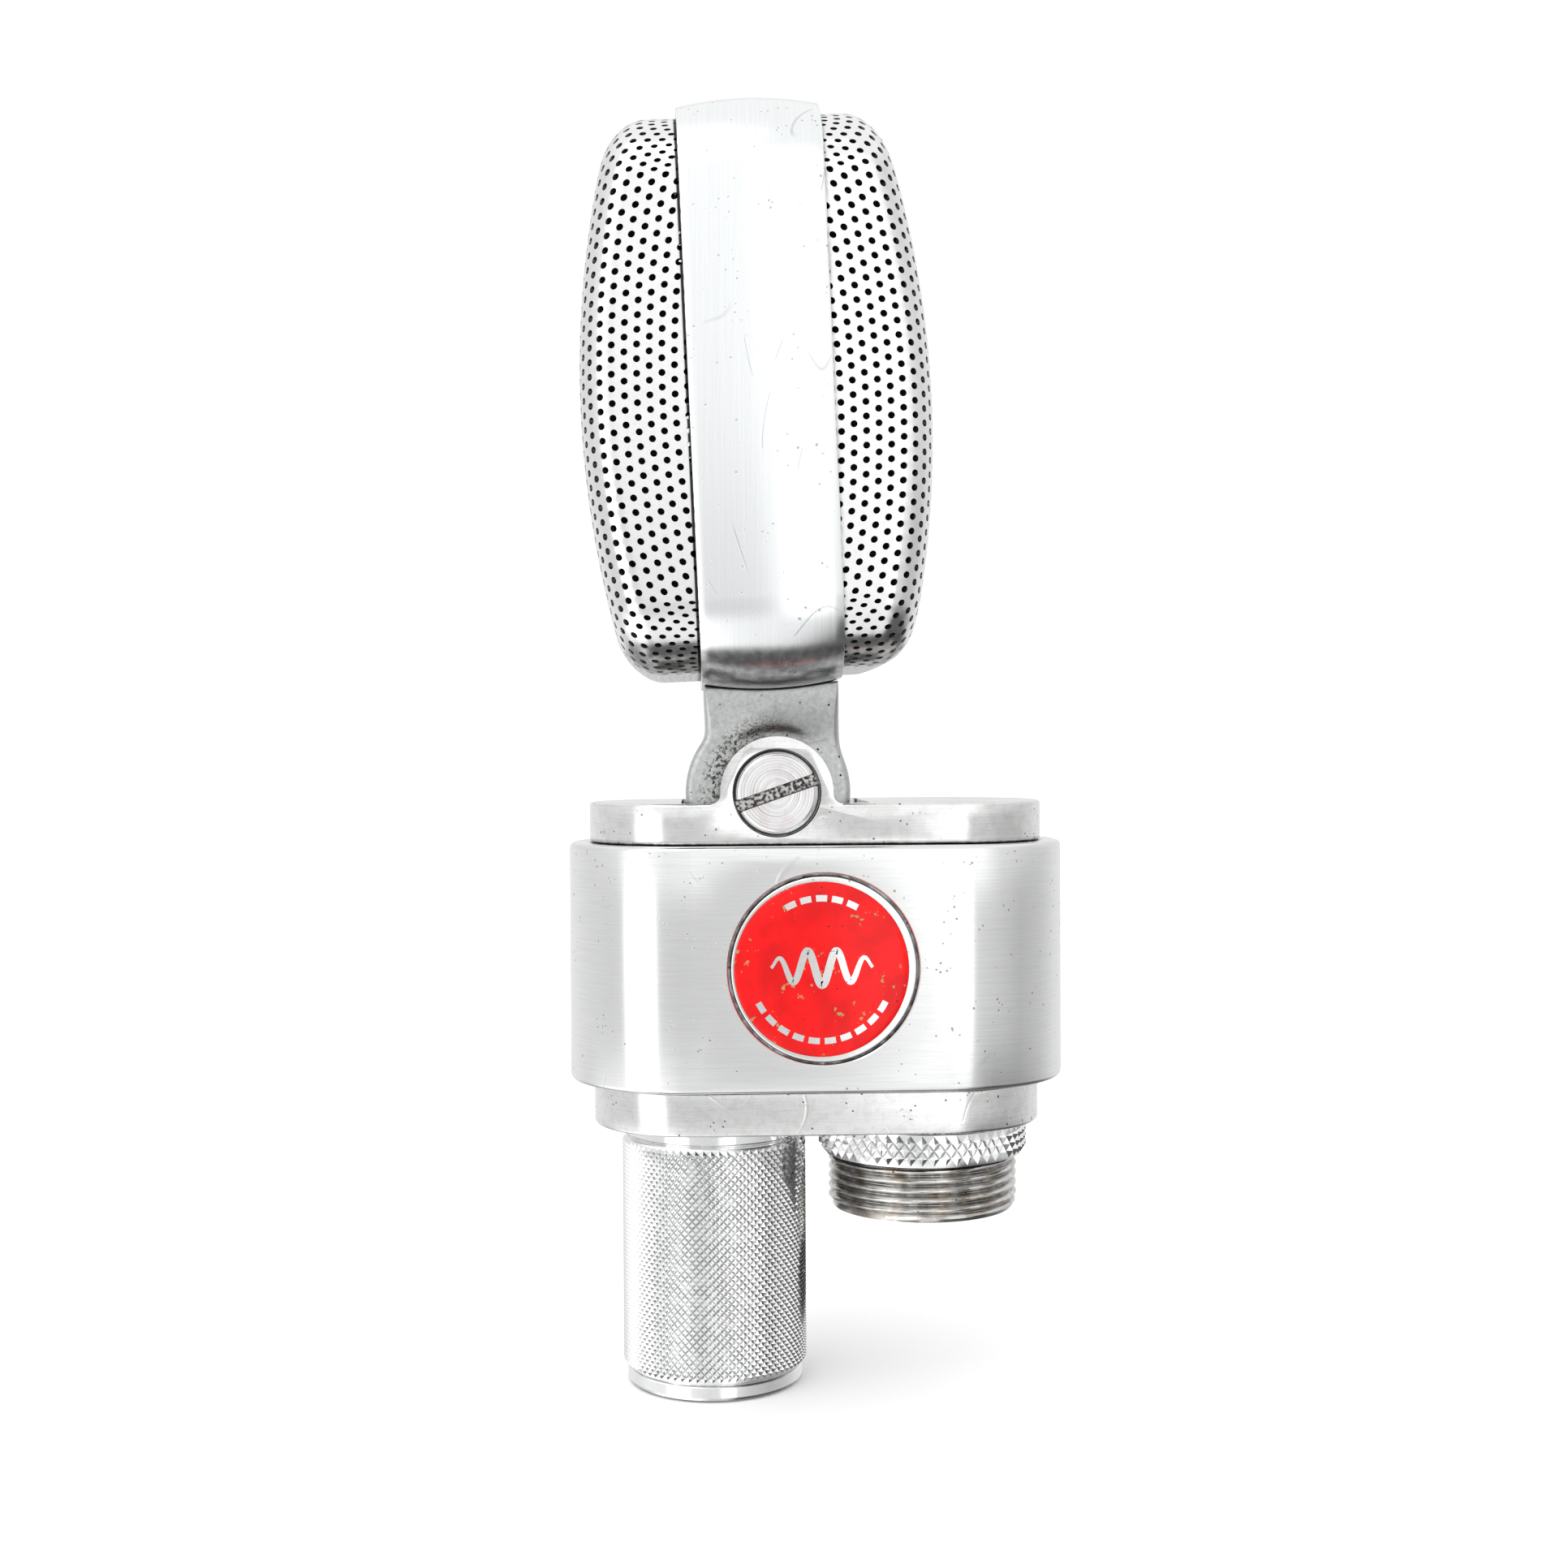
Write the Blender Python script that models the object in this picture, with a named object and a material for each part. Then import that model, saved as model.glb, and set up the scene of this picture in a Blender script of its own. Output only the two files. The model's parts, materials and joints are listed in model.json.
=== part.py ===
"""Side-address ribbon microphone on a tilting knuckle and a transformer base.

The frame's origin is the centre of the stand sleeve's lower mouth. +X runs along the
base from the sleeve to the connector, -Y is the badge side and +Z is up.
Driving dimensions are in millimetres and turned into metres where meshes are made.
"""
import math

import bmesh
import bpy
from mathutils import Matrix, Vector

MM = 0.001
GAP = 0.3                       # clearance between neighbouring pieces

# --- Base: three pill-shaped plates stacked on the stand axis -----------------------
BASE_X = 13.8                   # centre of the base, right of the stand axis
BLOCK_HALF = (32.8, 17.5)
BLOCK_CORNER = 16.4
BLOCK_BOTTOM, BLOCK_TOP = 40.8, 72.0
BLOCK_WALL = 2.5
BLOCK_ROOF = 3.0
TOP_HALF = (30.1, 14.7)
TOP_CORNER = 13.6
TOP_BOTTOM, TOP_TOP = 72.3, 77.3
BOTTOM_HALF = (29.7, 14.5)
BOTTOM_CORNER = 13.6
BOTTOM_BOTTOM, BOTTOM_TOP = 34.8, 40.5
EDGE = 0.4                      # softened edges of the plates
HOUSING_SCREW = (13.4, 11.2)
TOP_SCREW_X = (-8.5, 31.5)
SPACER_X = 12.3

# --- Pivot between base and head ----------------------------------------------------
PIVOT = (8.1, 0.0, 78.7)
REST_TILT = -2.3                # degrees about +Y, head leaning towards -X
EAR_RADIUS = 7.2
EAR_INNER, EAR_OUTER = 11.0, 14.7
DISC_RADIUS = 10.7              # round foot of the knuckle, between the ears
DISC_SHIFT = -0.9               # its centre, left of the pivot
DISC_HALF = 9.8
NECK_HALF = (8.6, 12.6)
NECK_RISE = (3.2, 10.5)         # heights between which foot thickens into neck
NECK_RELIEF = (7.7, 11.5)       # radii between which the hollow round an ear ends
KNUCKLE_EDGE = 0.8
SLOT_HALF = 12.2                # clears the knuckle's foot at every tilt
PIVOT_HEAD_RADIUS = 5.3
PIVOT_SHANK_RADIUS = 3.0
COIN_SLOT = 1.5

# --- Head ---------------------------------------------------------------------------
HEAD_HALF = (25.0, 37.05)       # half width and half height of the band, seen face on
HEAD_CORNER = 11.0
HEAD_CENTRE = 50.35             # above the pivot
BAND_HALF = 8.9                 # half the band's width, along the head's thickness
BAND_CROWN = 0.9
BAND_WALL = 1.6
GRILLE_INSET = 2.25             # grille outline inside the band's outline
GRILLE_FOOT = 7.9               # where the grille's skirt ends inside the band
GRILLE_FACE = {-1: 22.75, 1: 21.85}    # depth of the left and right face at their fullest
GRILLE_FULLEST = -2.0           # height of that place from the head's centre
GRILLE_ARCH = 0.0041            # how fast the face falls away up and down, per mm
GRILLE_BOW = 0.6                # how far it falls towards front and back
GRILLE_FILLET = (5.0, 4.2)      # fillet across the face and along the depth
GRILLE_THICK = 0.8
SCREEN_INSET = 1.6              # cloth screen behind the grille
SCREEN_THICK = 0.4

# --- Motor --------------------------------------------------------------------------
YOKE_HALF = (6.0, 21.2, 30.0)
YOKE_WINDOW = (18.9, 27.2)
MAGNET_Y = (12.9, 18.6)
POLE_Y = (3.1, 12.6)
POLE_TIP_HALF = 1.4
POLE_LENGTH = 24.0
RIBBON_HALF = 2.4
RIBBON_LENGTH = 26.4
RIBBON_FOIL = 0.1
CLAMP_Z = (24.4, 26.8)
CLAMP_SCREW_Y = 4.6
LEAD_X = 6.5
KNUCKLE_SCREW_Y = 7.0

# --- Stand sleeve and spigot --------------------------------------------------------
SLEEVE_RADIUS = 12.3
SLEEVE_END_RADIUS = 11.7
SLEEVE_TOP = 34.5
KNURL_BOTTOM, KNURL_TOP = 2.0, 32.7
SOCKET_RADIUS = 9.4
SOCKET_DEPTH = 23.8
SPIGOT_RADIUS = 6.2
SPIGOT_FLANGE = 8.8

# --- Output connector ---------------------------------------------------------------
CONNECTOR_X = 28.1
STUB_RADIUS = 12.7
STUB_BOTTOM = 22.9
WELL_RADIUS = 10.8
WELL_TOP = 30.6
RING_RADIUS = 14.0
RING_BOTTOM, RING_TOP = 30.2, 34.5
PIN_CIRCLE = 5.4
PIN_RADIUS = 1.1

# --- Badge --------------------------------------------------------------------------
BADGE_Z = 56.5
BADGE_POCKET = 12.1
BADGE_DEPTH = 1.5
BADGE_RIM = (11.8, 10.9)

# --- Transformer --------------------------------------------------------------------
CORE_CENTRE = (14.0, 0.0, 57.2)
CORE_HALF = (11.0, 4.2, 8.0)
CORE_LIMB = 3.0
CORE_WINDOW = (7.6, 4.6)
BOARD_Z = (46.6, 47.9)
BOARD_HALF = (22.0, 7.0)

COLOURS = {                     # colour, metallic, roughness
    "satin_chrome": ((0.80, 0.81, 0.80), 1.0, 0.28),
    "cast_grey": ((0.36, 0.37, 0.36), 0.8, 0.5),
    "bright_steel": ((0.72, 0.72, 0.70), 1.0, 0.25),
    "worn_brass": ((0.52, 0.44, 0.33), 1.0, 0.4),
    "red_enamel": ((0.80, 0.02, 0.02), 0.0, 0.15),
    "black_cloth": ((0.03, 0.03, 0.03), 0.0, 0.9),
    "magnet_alloy": ((0.22, 0.22, 0.23), 0.9, 0.5),
    "soft_iron": ((0.34, 0.33, 0.32), 0.9, 0.5),
    "ribbon_foil": ((0.86, 0.87, 0.88), 1.0, 0.2),
    "paxolin": ((0.22, 0.10, 0.04), 0.0, 0.5),
    "copper_wire": ((0.70, 0.32, 0.14), 0.9, 0.35),
    "black_plastic": ((0.03, 0.03, 0.03), 0.0, 0.4),
    "fibre": ((0.16, 0.06, 0.03), 0.0, 0.8),
}


# --- Building blocks ----------------------------------------------------------------
def clear_scene():
    for item in list(bpy.data.objects):
        bpy.data.objects.remove(item, do_unlink=True)


def material(name):
    found = bpy.data.materials.get(name)
    if found:
        return found
    colour, metallic, roughness = COLOURS[name]
    made = bpy.data.materials.new(name)
    made.use_nodes = True
    shader = made.node_tree.nodes["Principled BSDF"]
    shader.inputs["Base Color"].default_value = (*colour, 1.0)
    shader.inputs["Metallic"].default_value = metallic
    shader.inputs["Roughness"].default_value = roughness
    return made


def finish(name, mesh_builder, finish_name, at=(0, 0, 0), parent=None, turn=None):
    """Makes an object from a bmesh in millimetres, turned about its own origin."""
    bmesh.ops.remove_doubles(mesh_builder, verts=mesh_builder.verts, dist=1e-5)
    bmesh.ops.recalc_face_normals(mesh_builder, faces=mesh_builder.faces)
    if turn is not None:
        bmesh.ops.transform(mesh_builder, matrix=turn, verts=mesh_builder.verts)
    bmesh.ops.scale(mesh_builder, vec=(MM, MM, MM), verts=mesh_builder.verts)
    mesh = bpy.data.meshes.new(name)
    mesh_builder.to_mesh(mesh)
    mesh_builder.free()
    mesh.shade_smooth()
    mesh.set_sharp_from_angle(angle=math.radians(35))
    made = bpy.data.objects.new(name, mesh)
    bpy.context.scene.collection.objects.link(made)
    made.location = Vector(at) * MM
    made.parent = parent
    if finish_name:
        mesh.materials.append(material(finish_name))
    else:
        made.hide_render = True
        made.display_type = "WIRE"
    return made


def loft(rings, closed=False):
    """Skins rings of equal length, capped at both ends or joined end to start."""
    bm = bmesh.new()
    rows = [[bm.verts.new(point) for point in ring] for ring in rings]
    pairs = list(zip(rows, rows[1:]))
    if closed:
        pairs.append((rows[-1], rows[0]))
    for low, high in pairs:
        for i in range(len(low)):
            j = (i + 1) % len(low)
            bm.faces.new((low[i], low[j], high[j], high[i]))
    if not closed:
        bm.faces.new(list(reversed(rows[0])))
        bm.faces.new(rows[-1])
    return bm


def circle(radius, z, sides):
    angles = [2 * math.pi * i / sides for i in range(sides)]
    return [(radius * math.cos(a), radius * math.sin(a), z) for a in angles]


def turned(profile, sides=32, hollow=False):
    """Turns a profile of (radius, z) points about Z."""
    return loft([circle(r, z, sides) for r, z in profile], closed=hollow)


def rounded_rect(half_x, half_y, radius, steps=8):
    points = []
    for quarter in range(4):
        sx = 1 if quarter in (0, 3) else -1
        sy = 1 if quarter in (0, 1) else -1
        for k in range(steps + 1):
            angle = math.pi / 2 * (quarter + k / steps)
            points.append((sx * (half_x - radius) + radius * math.cos(angle),
                           sy * (half_y - radius) + radius * math.sin(angle)))
    return points


def pill(half, corner, z0, z1, edge=EDGE, steps=8):
    """A rounded-rectangle plate with softened top and bottom edges."""
    levels = [(edge, z0), (0.0, z0 + edge), (0.0, z1 - edge), (edge, z1)]
    if edge == 0:
        levels = [(0.0, z0), (0.0, z1)]
    rings = []
    for inset, z in levels:
        outline = rounded_rect(half[0] - inset, half[1] - inset, corner - inset, steps)
        rings.append([(x, y, z) for x, y in outline])
    return loft(rings)


def box(low, high):
    corners = [(low[0], low[1]), (high[0], low[1]), (high[0], high[1]), (low[0], high[1])]
    return loft([[(x, y, z) for x, y in corners] for z in (low[2], high[2])])


def boolean(target, tool, operation="DIFFERENCE"):
    step = target.modifiers.new(tool.name, "BOOLEAN")
    step.operation = operation
    step.solver = "EXACT"
    step.object = tool


def cutter(name, bm, target, at=(0, 0, 0), parent=None, turn=None, operation="DIFFERENCE"):
    tool = finish(name, bm, None, at, parent, turn)
    boolean(target, tool, operation)
    return tool


def along(axis):
    """Rotation that turns +Z to the given axis."""
    return Vector((0, 0, 1)).rotation_difference(Vector(axis)).to_matrix().to_4x4()


def slotted_screw(name, at, axis, head, shank, finish_name="bright_steel", parent=None):
    """A screw whose head starts at the origin of its axis and whose shank runs back.

    head is (radius, height) and shank is (radius, length)."""
    profile = [(shank[0] * 0.8, -shank[1]), (shank[0], -shank[1] + 0.3), (shank[0], 0.0),
               (head[0], 0.0), (head[0], head[1] * 0.75), (head[0] * 0.85, head[1])]
    screw = finish(name, turned(profile, 12), finish_name, at, parent, along(axis))
    slot = box((-head[0] * 1.2, -head[0] * 0.14, head[1] * 0.5),
               (head[0] * 1.2, head[0] * 0.14, head[1] * 1.5))
    cutter(name + "_slot", slot, screw, at, parent, along(axis))
    return screw


def empty(name, at, tilt=0.0):
    made = bpy.data.objects.new(name, None)
    bpy.context.scene.collection.objects.link(made)
    made.location = Vector(at) * MM
    made.rotation_euler = (0.0, math.radians(tilt), 0.0)
    return made


# --- Base ---------------------------------------------------------------------------
def make_block():
    base = (BASE_X, 0, 0)
    block = finish("block_housing", pill(BLOCK_HALF, BLOCK_CORNER, BLOCK_BOTTOM, BLOCK_TOP, 0.7),
                   "satin_chrome", base)
    inner = (BLOCK_HALF[0] - BLOCK_WALL, BLOCK_HALF[1] - BLOCK_WALL)
    ceiling = BLOCK_TOP - BLOCK_ROOF
    cavity = pill(inner, BLOCK_CORNER - BLOCK_WALL, BLOCK_BOTTOM - 5, ceiling, 0)
    cutter("block_cavity", cavity, block, base)
    for side, y in (("front", -1), ("rear", 1)):
        pillar = turned([(3.4, BLOCK_BOTTOM + 0.05), (3.4, ceiling + 0.5)], 20)
        cutter("block_pillar_" + side, pillar, block, (HOUSING_SCREW[0], y * HOUSING_SCREW[1], 0),
               operation="UNION")
        hole = turned([(1.8, BLOCK_BOTTOM - 1), (1.8, BLOCK_BOTTOM + 9)], 16)
        cutter("block_tap_" + side, hole, block, (HOUSING_SCREW[0], y * HOUSING_SCREW[1], 0))
    pocket = turned([(BADGE_POCKET, 0), (BADGE_POCKET, BADGE_DEPTH * 2)], 48)
    cutter("badge_pocket", pocket, block, (BASE_X, -BLOCK_HALF[1] + BADGE_DEPTH, BADGE_Z),
           turn=along((0, -1, 0)))
    slot = box((-SLOT_HALF, -EAR_INNER, ceiling - 1), (SLOT_HALF, EAR_INNER, TOP_TOP))
    cutter("block_slot", slot, block, (PIVOT[0], 0, 0))
    for side, x in (("left", TOP_SCREW_X[0]), ("right", TOP_SCREW_X[1])):
        hole = turned([(1.8, ceiling - 1), (1.8, TOP_TOP)], 16)
        cutter("block_hole_" + side, hole, block, (x, 0, 0))


def make_top_plate():
    plate = finish("top_plate", pill(TOP_HALF, TOP_CORNER, TOP_BOTTOM, TOP_TOP), "satin_chrome",
                   (BASE_X, 0, 0))
    slot = box((-SLOT_HALF, -EAR_INNER, TOP_BOTTOM - 1), (SLOT_HALF, EAR_INNER, 90))
    for side, y in (("front", -1), ("rear", 1)):
        drop = PIVOT[2] - TOP_BOTTOM - 1.0
        width = EAR_RADIUS
        outline = [(width * math.cos(a), width * math.sin(a))
                   for a in (math.pi * k / 20 for k in range(21))]
        outline += [(-width, -drop), (width, -drop)]
        deep = [(EAR_INNER, 0.0), (EAR_OUTER - 0.25, 0.0), (EAR_OUTER - 0.02, 0.3)]
        rings = []
        for depth, inset in deep:
            ring = []
            for x, z in outline:
                shrink = 1 - inset / width
                ring.append((x * shrink, y * depth, z * shrink if z > 0 else z))
            rings.append(ring)
        cutter("ear_" + side, loft(rings), plate, PIVOT, operation="UNION")
    cutter("plate_slot", slot, plate, (PIVOT[0], 0, 0))
    for side, y in (("front", -1), ("rear", 1)):
        sink = turned([(PIVOT_HEAD_RADIUS + 0.35, 0), (PIVOT_HEAD_RADIUS + 0.35, 6)], 40)
        cutter("ear_sink_" + side, sink, plate, (PIVOT[0], y * (EAR_OUTER - 1.9), PIVOT[2]),
               turn=along((0, y, 0)))
    bore = turned([(PIVOT_SHANK_RADIUS + GAP, -20), (PIVOT_SHANK_RADIUS + GAP, 20)], 32)
    cutter("ear_bore", bore, plate, PIVOT, turn=along((0, 1, 0)))
    for side, x in (("left", TOP_SCREW_X[0]), ("right", TOP_SCREW_X[1])):
        hole = turned([(1.8, TOP_BOTTOM - 1), (1.8, TOP_TOP - 1.2)], 16)
        cutter("plate_tap_" + side, hole, plate, (x, 0, 0))


def make_bottom_plate():
    plate = finish("bottom_plate", pill(BOTTOM_HALF, BOTTOM_CORNER, BOTTOM_BOTTOM, BOTTOM_TOP),
                   "satin_chrome", (BASE_X, 0, 0))
    holes = (("spigot", SPIGOT_RADIUS + GAP, 0, 0), ("connector", 10.1, CONNECTOR_X, 0),
             ("screw_front", 1.8, HOUSING_SCREW[0], -HOUSING_SCREW[1]),
             ("screw_rear", 1.8, HOUSING_SCREW[0], HOUSING_SCREW[1]))
    for name, radius, x, y in holes:
        hole = turned([(radius, BOTTOM_BOTTOM - 1), (radius, BOTTOM_TOP + 1)], 32)
        cutter("plate_hole_" + name, hole, plate, (x, y, 0))
    for side, y in (("front", -1), ("rear", 1)):
        sink = turned([(3.0, BOTTOM_BOTTOM - 1), (3.0, BOTTOM_BOTTOM + 2.2)], 20)
        at = (HOUSING_SCREW[0], y * HOUSING_SCREW[1], 0)
        cutter("plate_sink_" + side, sink, plate, at)
        slotted_screw("housing_screw_" + side, (*at[:2], BOTTOM_BOTTOM + 1.9), (0, 0, -1),
                      (2.6, 1.6), (1.4, 12.0))


def make_top_screws():
    ceiling = BLOCK_TOP - BLOCK_ROOF
    for side, x in (("left", TOP_SCREW_X[0]), ("right", TOP_SCREW_X[1])):
        slotted_screw("top_plate_screw_" + side, (x, 0, ceiling - GAP), (0, 0, -1),
                      (2.6, 1.6), (1.4, 6.6))


def make_badge():
    outer, inner = BADGE_RIM
    at = (BASE_X, -BLOCK_HALF[1] + BADGE_DEPTH - GAP, BADGE_Z)
    rim = [(outer, 0), (outer, 0.95), (outer - 0.25, 1.15), (inner + 0.1, 1.0), (inner + 0.1, 0)]
    finish("badge_rim", turned(rim, 48, hollow=True), "bright_steel", at, turn=along((0, -1, 0)))
    disc = [(inner - GAP + 0.1, 0)]
    for k in range(4):
        angle = math.radians(90 * k / 3)
        disc.append((max((inner - 0.2) * math.cos(angle), 0.05), 0.55 + 0.5 * math.sin(angle)))
    finish("badge_disc", turned(disc, 40), "red_enamel", at, turn=along((0, -1, 0)))


def make_pivot_parts():
    at = (PIVOT[0], -EAR_OUTER + 1.6, PIVOT[2])
    reach = 2 * EAR_OUTER - 3.0
    profile = [(PIVOT_SHANK_RADIUS - 0.3, -reach), (PIVOT_SHANK_RADIUS, -reach + 0.3),
               (PIVOT_SHANK_RADIUS, 0), (PIVOT_HEAD_RADIUS, 0), (PIVOT_HEAD_RADIUS, 1.3),
               (PIVOT_HEAD_RADIUS - 0.5, 1.65), (PIVOT_HEAD_RADIUS - 1.2, 1.5)]
    screw = finish("pivot_screw", turned(profile, 40), "bright_steel", at, turn=along((0, -1, 0)))
    slot = box((-8, -COIN_SLOT / 2, 0.7), (8, COIN_SLOT / 2, 3))
    tilt = Matrix.Rotation(math.radians(-19), 4, "Y") @ along((0, -1, 0))
    cutter("coin_slot", slot, screw, at, turn=tilt)
    nut = [(PIVOT_SHANK_RADIUS + GAP, 0), (PIVOT_HEAD_RADIUS, 0), (PIVOT_HEAD_RADIUS, 1.3),
           (PIVOT_HEAD_RADIUS - 0.4, 1.6), (PIVOT_SHANK_RADIUS + GAP, 1.6)]
    finish("pivot_nut", turned(nut, 32, hollow=True), "bright_steel",
           (PIVOT[0], EAR_OUTER - 1.6, PIVOT[2]), turn=along((0, 1, 0)))
    ring = [(PIVOT_SHANK_RADIUS + GAP, -0.3), (7.0, -0.3), (7.0, 0.3), (PIVOT_SHANK_RADIUS + GAP, 0.3)]
    for side, y in (("front", -1), ("rear", 1)):
        middle = y * (EAR_INNER + DISC_HALF) / 2
        finish("friction_washer_" + side, turned(ring, 24, hollow=True), "fibre",
               (PIVOT[0], middle, PIVOT[2]), turn=along((0, 1, 0)))


def make_stand_parts():
    axis = empty("stand_axis", (0, 0, 0))
    web = SPIGOT_RADIUS + GAP
    sleeve = [(SOCKET_RADIUS, 0.5), (SOCKET_RADIUS + 0.5, 0), (SLEEVE_END_RADIUS - 0.4, 0),
              (SLEEVE_END_RADIUS, 0.4), (SLEEVE_END_RADIUS, KNURL_BOTTOM - 0.1),
              (SLEEVE_RADIUS, KNURL_BOTTOM + 0.4), (SLEEVE_RADIUS, KNURL_TOP - 0.4),
              (SLEEVE_END_RADIUS + 0.1, KNURL_TOP + 0.1), (SLEEVE_END_RADIUS + 0.1, SLEEVE_TOP - 0.3),
              (SLEEVE_END_RADIUS - 0.2, SLEEVE_TOP), (web, SLEEVE_TOP), (web, SOCKET_DEPTH),
              (SOCKET_RADIUS, SOCKET_DEPTH)]
    finish("stand_sleeve", turned(sleeve, 48, hollow=True), "bright_steel", parent=axis)
    spigot = [(2.0, 20.9), (SPIGOT_FLANGE, 20.9), (SPIGOT_FLANGE, 22.4), (SPIGOT_RADIUS, 22.4),
              (SPIGOT_RADIUS, 46.0), (2.0, 46.0)]
    finish("stand_spigot", turned(spigot, 24, hollow=True), "worn_brass")
    washer = [(web, 22.7), (SPIGOT_FLANGE, 22.7), (SPIGOT_FLANGE, 23.5), (web, 23.5)]
    finish("spigot_washer", turned(washer, 24, hollow=True), "fibre")
    nut = [(web, 40.8), (9.0, 40.8), (9.0, 43.8), (web, 43.8)]
    finish("spigot_nut", turned(nut, 6 * 4, hollow=True), "worn_brass")


def make_connector():
    at = (CONNECTOR_X, 0, 0)
    shell = [(WELL_RADIUS, STUB_BOTTOM), (STUB_RADIUS - 0.4, STUB_BOTTOM),
             (STUB_RADIUS, STUB_BOTTOM + 0.4), (STUB_RADIUS, 34.5), (9.8, 34.5), (9.8, 44.6),
             (8.3, 44.6), (8.3, WELL_TOP + 3.3), (WELL_RADIUS, WELL_TOP + 3.3)]
    finish("connector_shell", turned(shell, 40, hollow=True), "worn_brass", at)
    insulator = finish("connector_insulator",
                       turned([(WELL_RADIUS - GAP, WELL_TOP), (WELL_RADIUS - GAP, WELL_TOP + 3.0)], 40),
                       "black_plastic", at)
    for number in range(3):
        angle = math.radians(90 + 120 * number)
        x = CONNECTOR_X + PIN_CIRCLE * math.cos(angle)
        y = PIN_CIRCLE * math.sin(angle)
        hole = turned([(PIN_RADIUS + GAP, WELL_TOP - 1), (PIN_RADIUS + GAP, WELL_TOP + 5)], 12)
        cutter("pin_hole_%d" % (number + 1), hole, insulator, (x, y, 0))
        pin = [(0.5, 25.2), (PIN_RADIUS, 25.9), (PIN_RADIUS, 37.0), (0.8, 37.4)]
        finish("contact_pin_%d" % (number + 1), turned(pin, 12), "bright_steel", (x, y, 0))
    nut = [(10.1, 40.8), (12.4, 40.8), (12.4, 43.6), (10.1, 43.6)]
    finish("connector_nut", turned(nut, 24, hollow=True), "worn_brass", at)
    ring_axis = empty("lock_ring_axis", at)
    bore = STUB_RADIUS + GAP
    ring = [(bore, RING_BOTTOM), (RING_RADIUS - 0.6, RING_BOTTOM), (RING_RADIUS, RING_BOTTOM + 0.7),
            (RING_RADIUS, RING_TOP - 0.3), (RING_RADIUS - 0.3, RING_TOP), (bore, RING_TOP)]
    finish("lock_ring", turned(ring, 40, hollow=True), "bright_steel", parent=ring_axis)


def make_transformer():
    x, y, z = CORE_CENTRE
    hx, hy, hz = CORE_HALF
    core = finish("transformer_core", box((-hx, -hy, -hz), (hx, hy, hz)), "soft_iron", CORE_CENTRE)
    for side, sign in (("left", -1), ("right", 1)):
        edges = sorted((sign * CORE_LIMB, sign * CORE_WINDOW[0]))
        window = box((edges[0], -hy - 1, -CORE_WINDOW[1]), (edges[1], hy + 1, CORE_WINDOW[1]))
        cutter("core_window_" + side, window, core, CORE_CENTRE)
    tube = [(CORE_LIMB + 0.3, hy + 0.3), (CORE_LIMB + 0.9, hy + 0.9)]
    cheek = (CORE_WINDOW[0] - 0.3, hy + 2.9)
    rings = []
    top = CORE_WINDOW[1] - 0.3
    outline = [(tube[0], -top), (cheek, -top), (cheek, -top + 0.6), (tube[1], -top + 0.6),
               (tube[1], top - 0.6), (cheek, top - 0.6), (cheek, top), (tube[0], top)]
    for (half_x, half_y), level in outline:
        rings.append([(half_x, half_y, level), (-half_x, half_y, level),
                      (-half_x, -half_y, level), (half_x, -half_y, level)])
    finish("transformer_bobbin", loft(rings, closed=True), "paxolin", CORE_CENTRE)
    inner = (tube[1][0] + 0.3, tube[1][1] + 0.3)
    outer = (cheek[0] - 0.3, cheek[1] - 0.4)
    coil = top - 0.9
    rings = []
    for (half_x, half_y), level in ((inner, -coil), (outer, -coil), (outer, coil), (inner, coil)):
        corner = 1.0 if half_x == outer[0] else 0.3
        rings.append([(px, py, level) for px, py in rounded_rect(half_x, half_y, corner, 3)])
    finish("transformer_winding", loft(rings, closed=True), "copper_wire", CORE_CENTRE)
    wall = 0.7
    inside, foot, low = hx + 0.3, hx + 5.0, BOARD_Z[1] + 0.3 - z
    roof = hz + 0.3
    path = [(-foot, low), (-foot, low + wall), (-inside - wall, low + wall), (-inside - wall, roof + wall),
            (inside + wall, roof + wall), (inside + wall, low + wall), (foot, low + wall), (foot, low),
            (inside, low), (inside, roof), (-inside, roof), (-inside, low)]
    rings = [[(px, py, pz) for px, pz in path] for py in (-3.2, 3.2)]
    clamp = finish("transformer_clamp", loft(rings), "bright_steel", CORE_CENTRE)
    board = finish("terminal_board", box((-BOARD_HALF[0], -BOARD_HALF[1], BOARD_Z[0]),
                                         (BOARD_HALF[0], BOARD_HALF[1], BOARD_Z[1])),
                   "paxolin", (BASE_X, 0, 0))
    for side, sign in (("left", -1), ("right", 1)):
        at = (x + sign * (hx + 3.1), 0, BOARD_Z[1] + 0.3 + wall + 0.3)
        hole = turned([(1.1, -5), (1.1, 5)], 16)
        cutter("clamp_hole_" + side, hole, clamp, at)
        hole = turned([(1.1, -5), (1.1, 5)], 16)
        cutter("board_hole_" + side, hole, board, at)
        slotted_screw("clamp_screw_" + side, at, (0, 0, 1), (1.7, 1.0), (0.8, 3.2))
    hole = turned([(1.1, -5), (1.1, 5)], 16)
    cutter("board_hole_centre", hole, board, (SPACER_X, 0, BOARD_Z[0]))
    spacer = [(1.3, 40.8), (2.2, 40.8), (2.2, BOARD_Z[0] - GAP), (1.3, BOARD_Z[0] - GAP)]
    finish("board_spacer", turned(spacer, 24, hollow=True), "worn_brass", (SPACER_X, 0, 0))
    slotted_screw("board_screw", (SPACER_X, 0, BOARD_Z[1] + GAP), (0, 0, 1), (1.8, 0.7), (0.8, 5.5))


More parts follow.
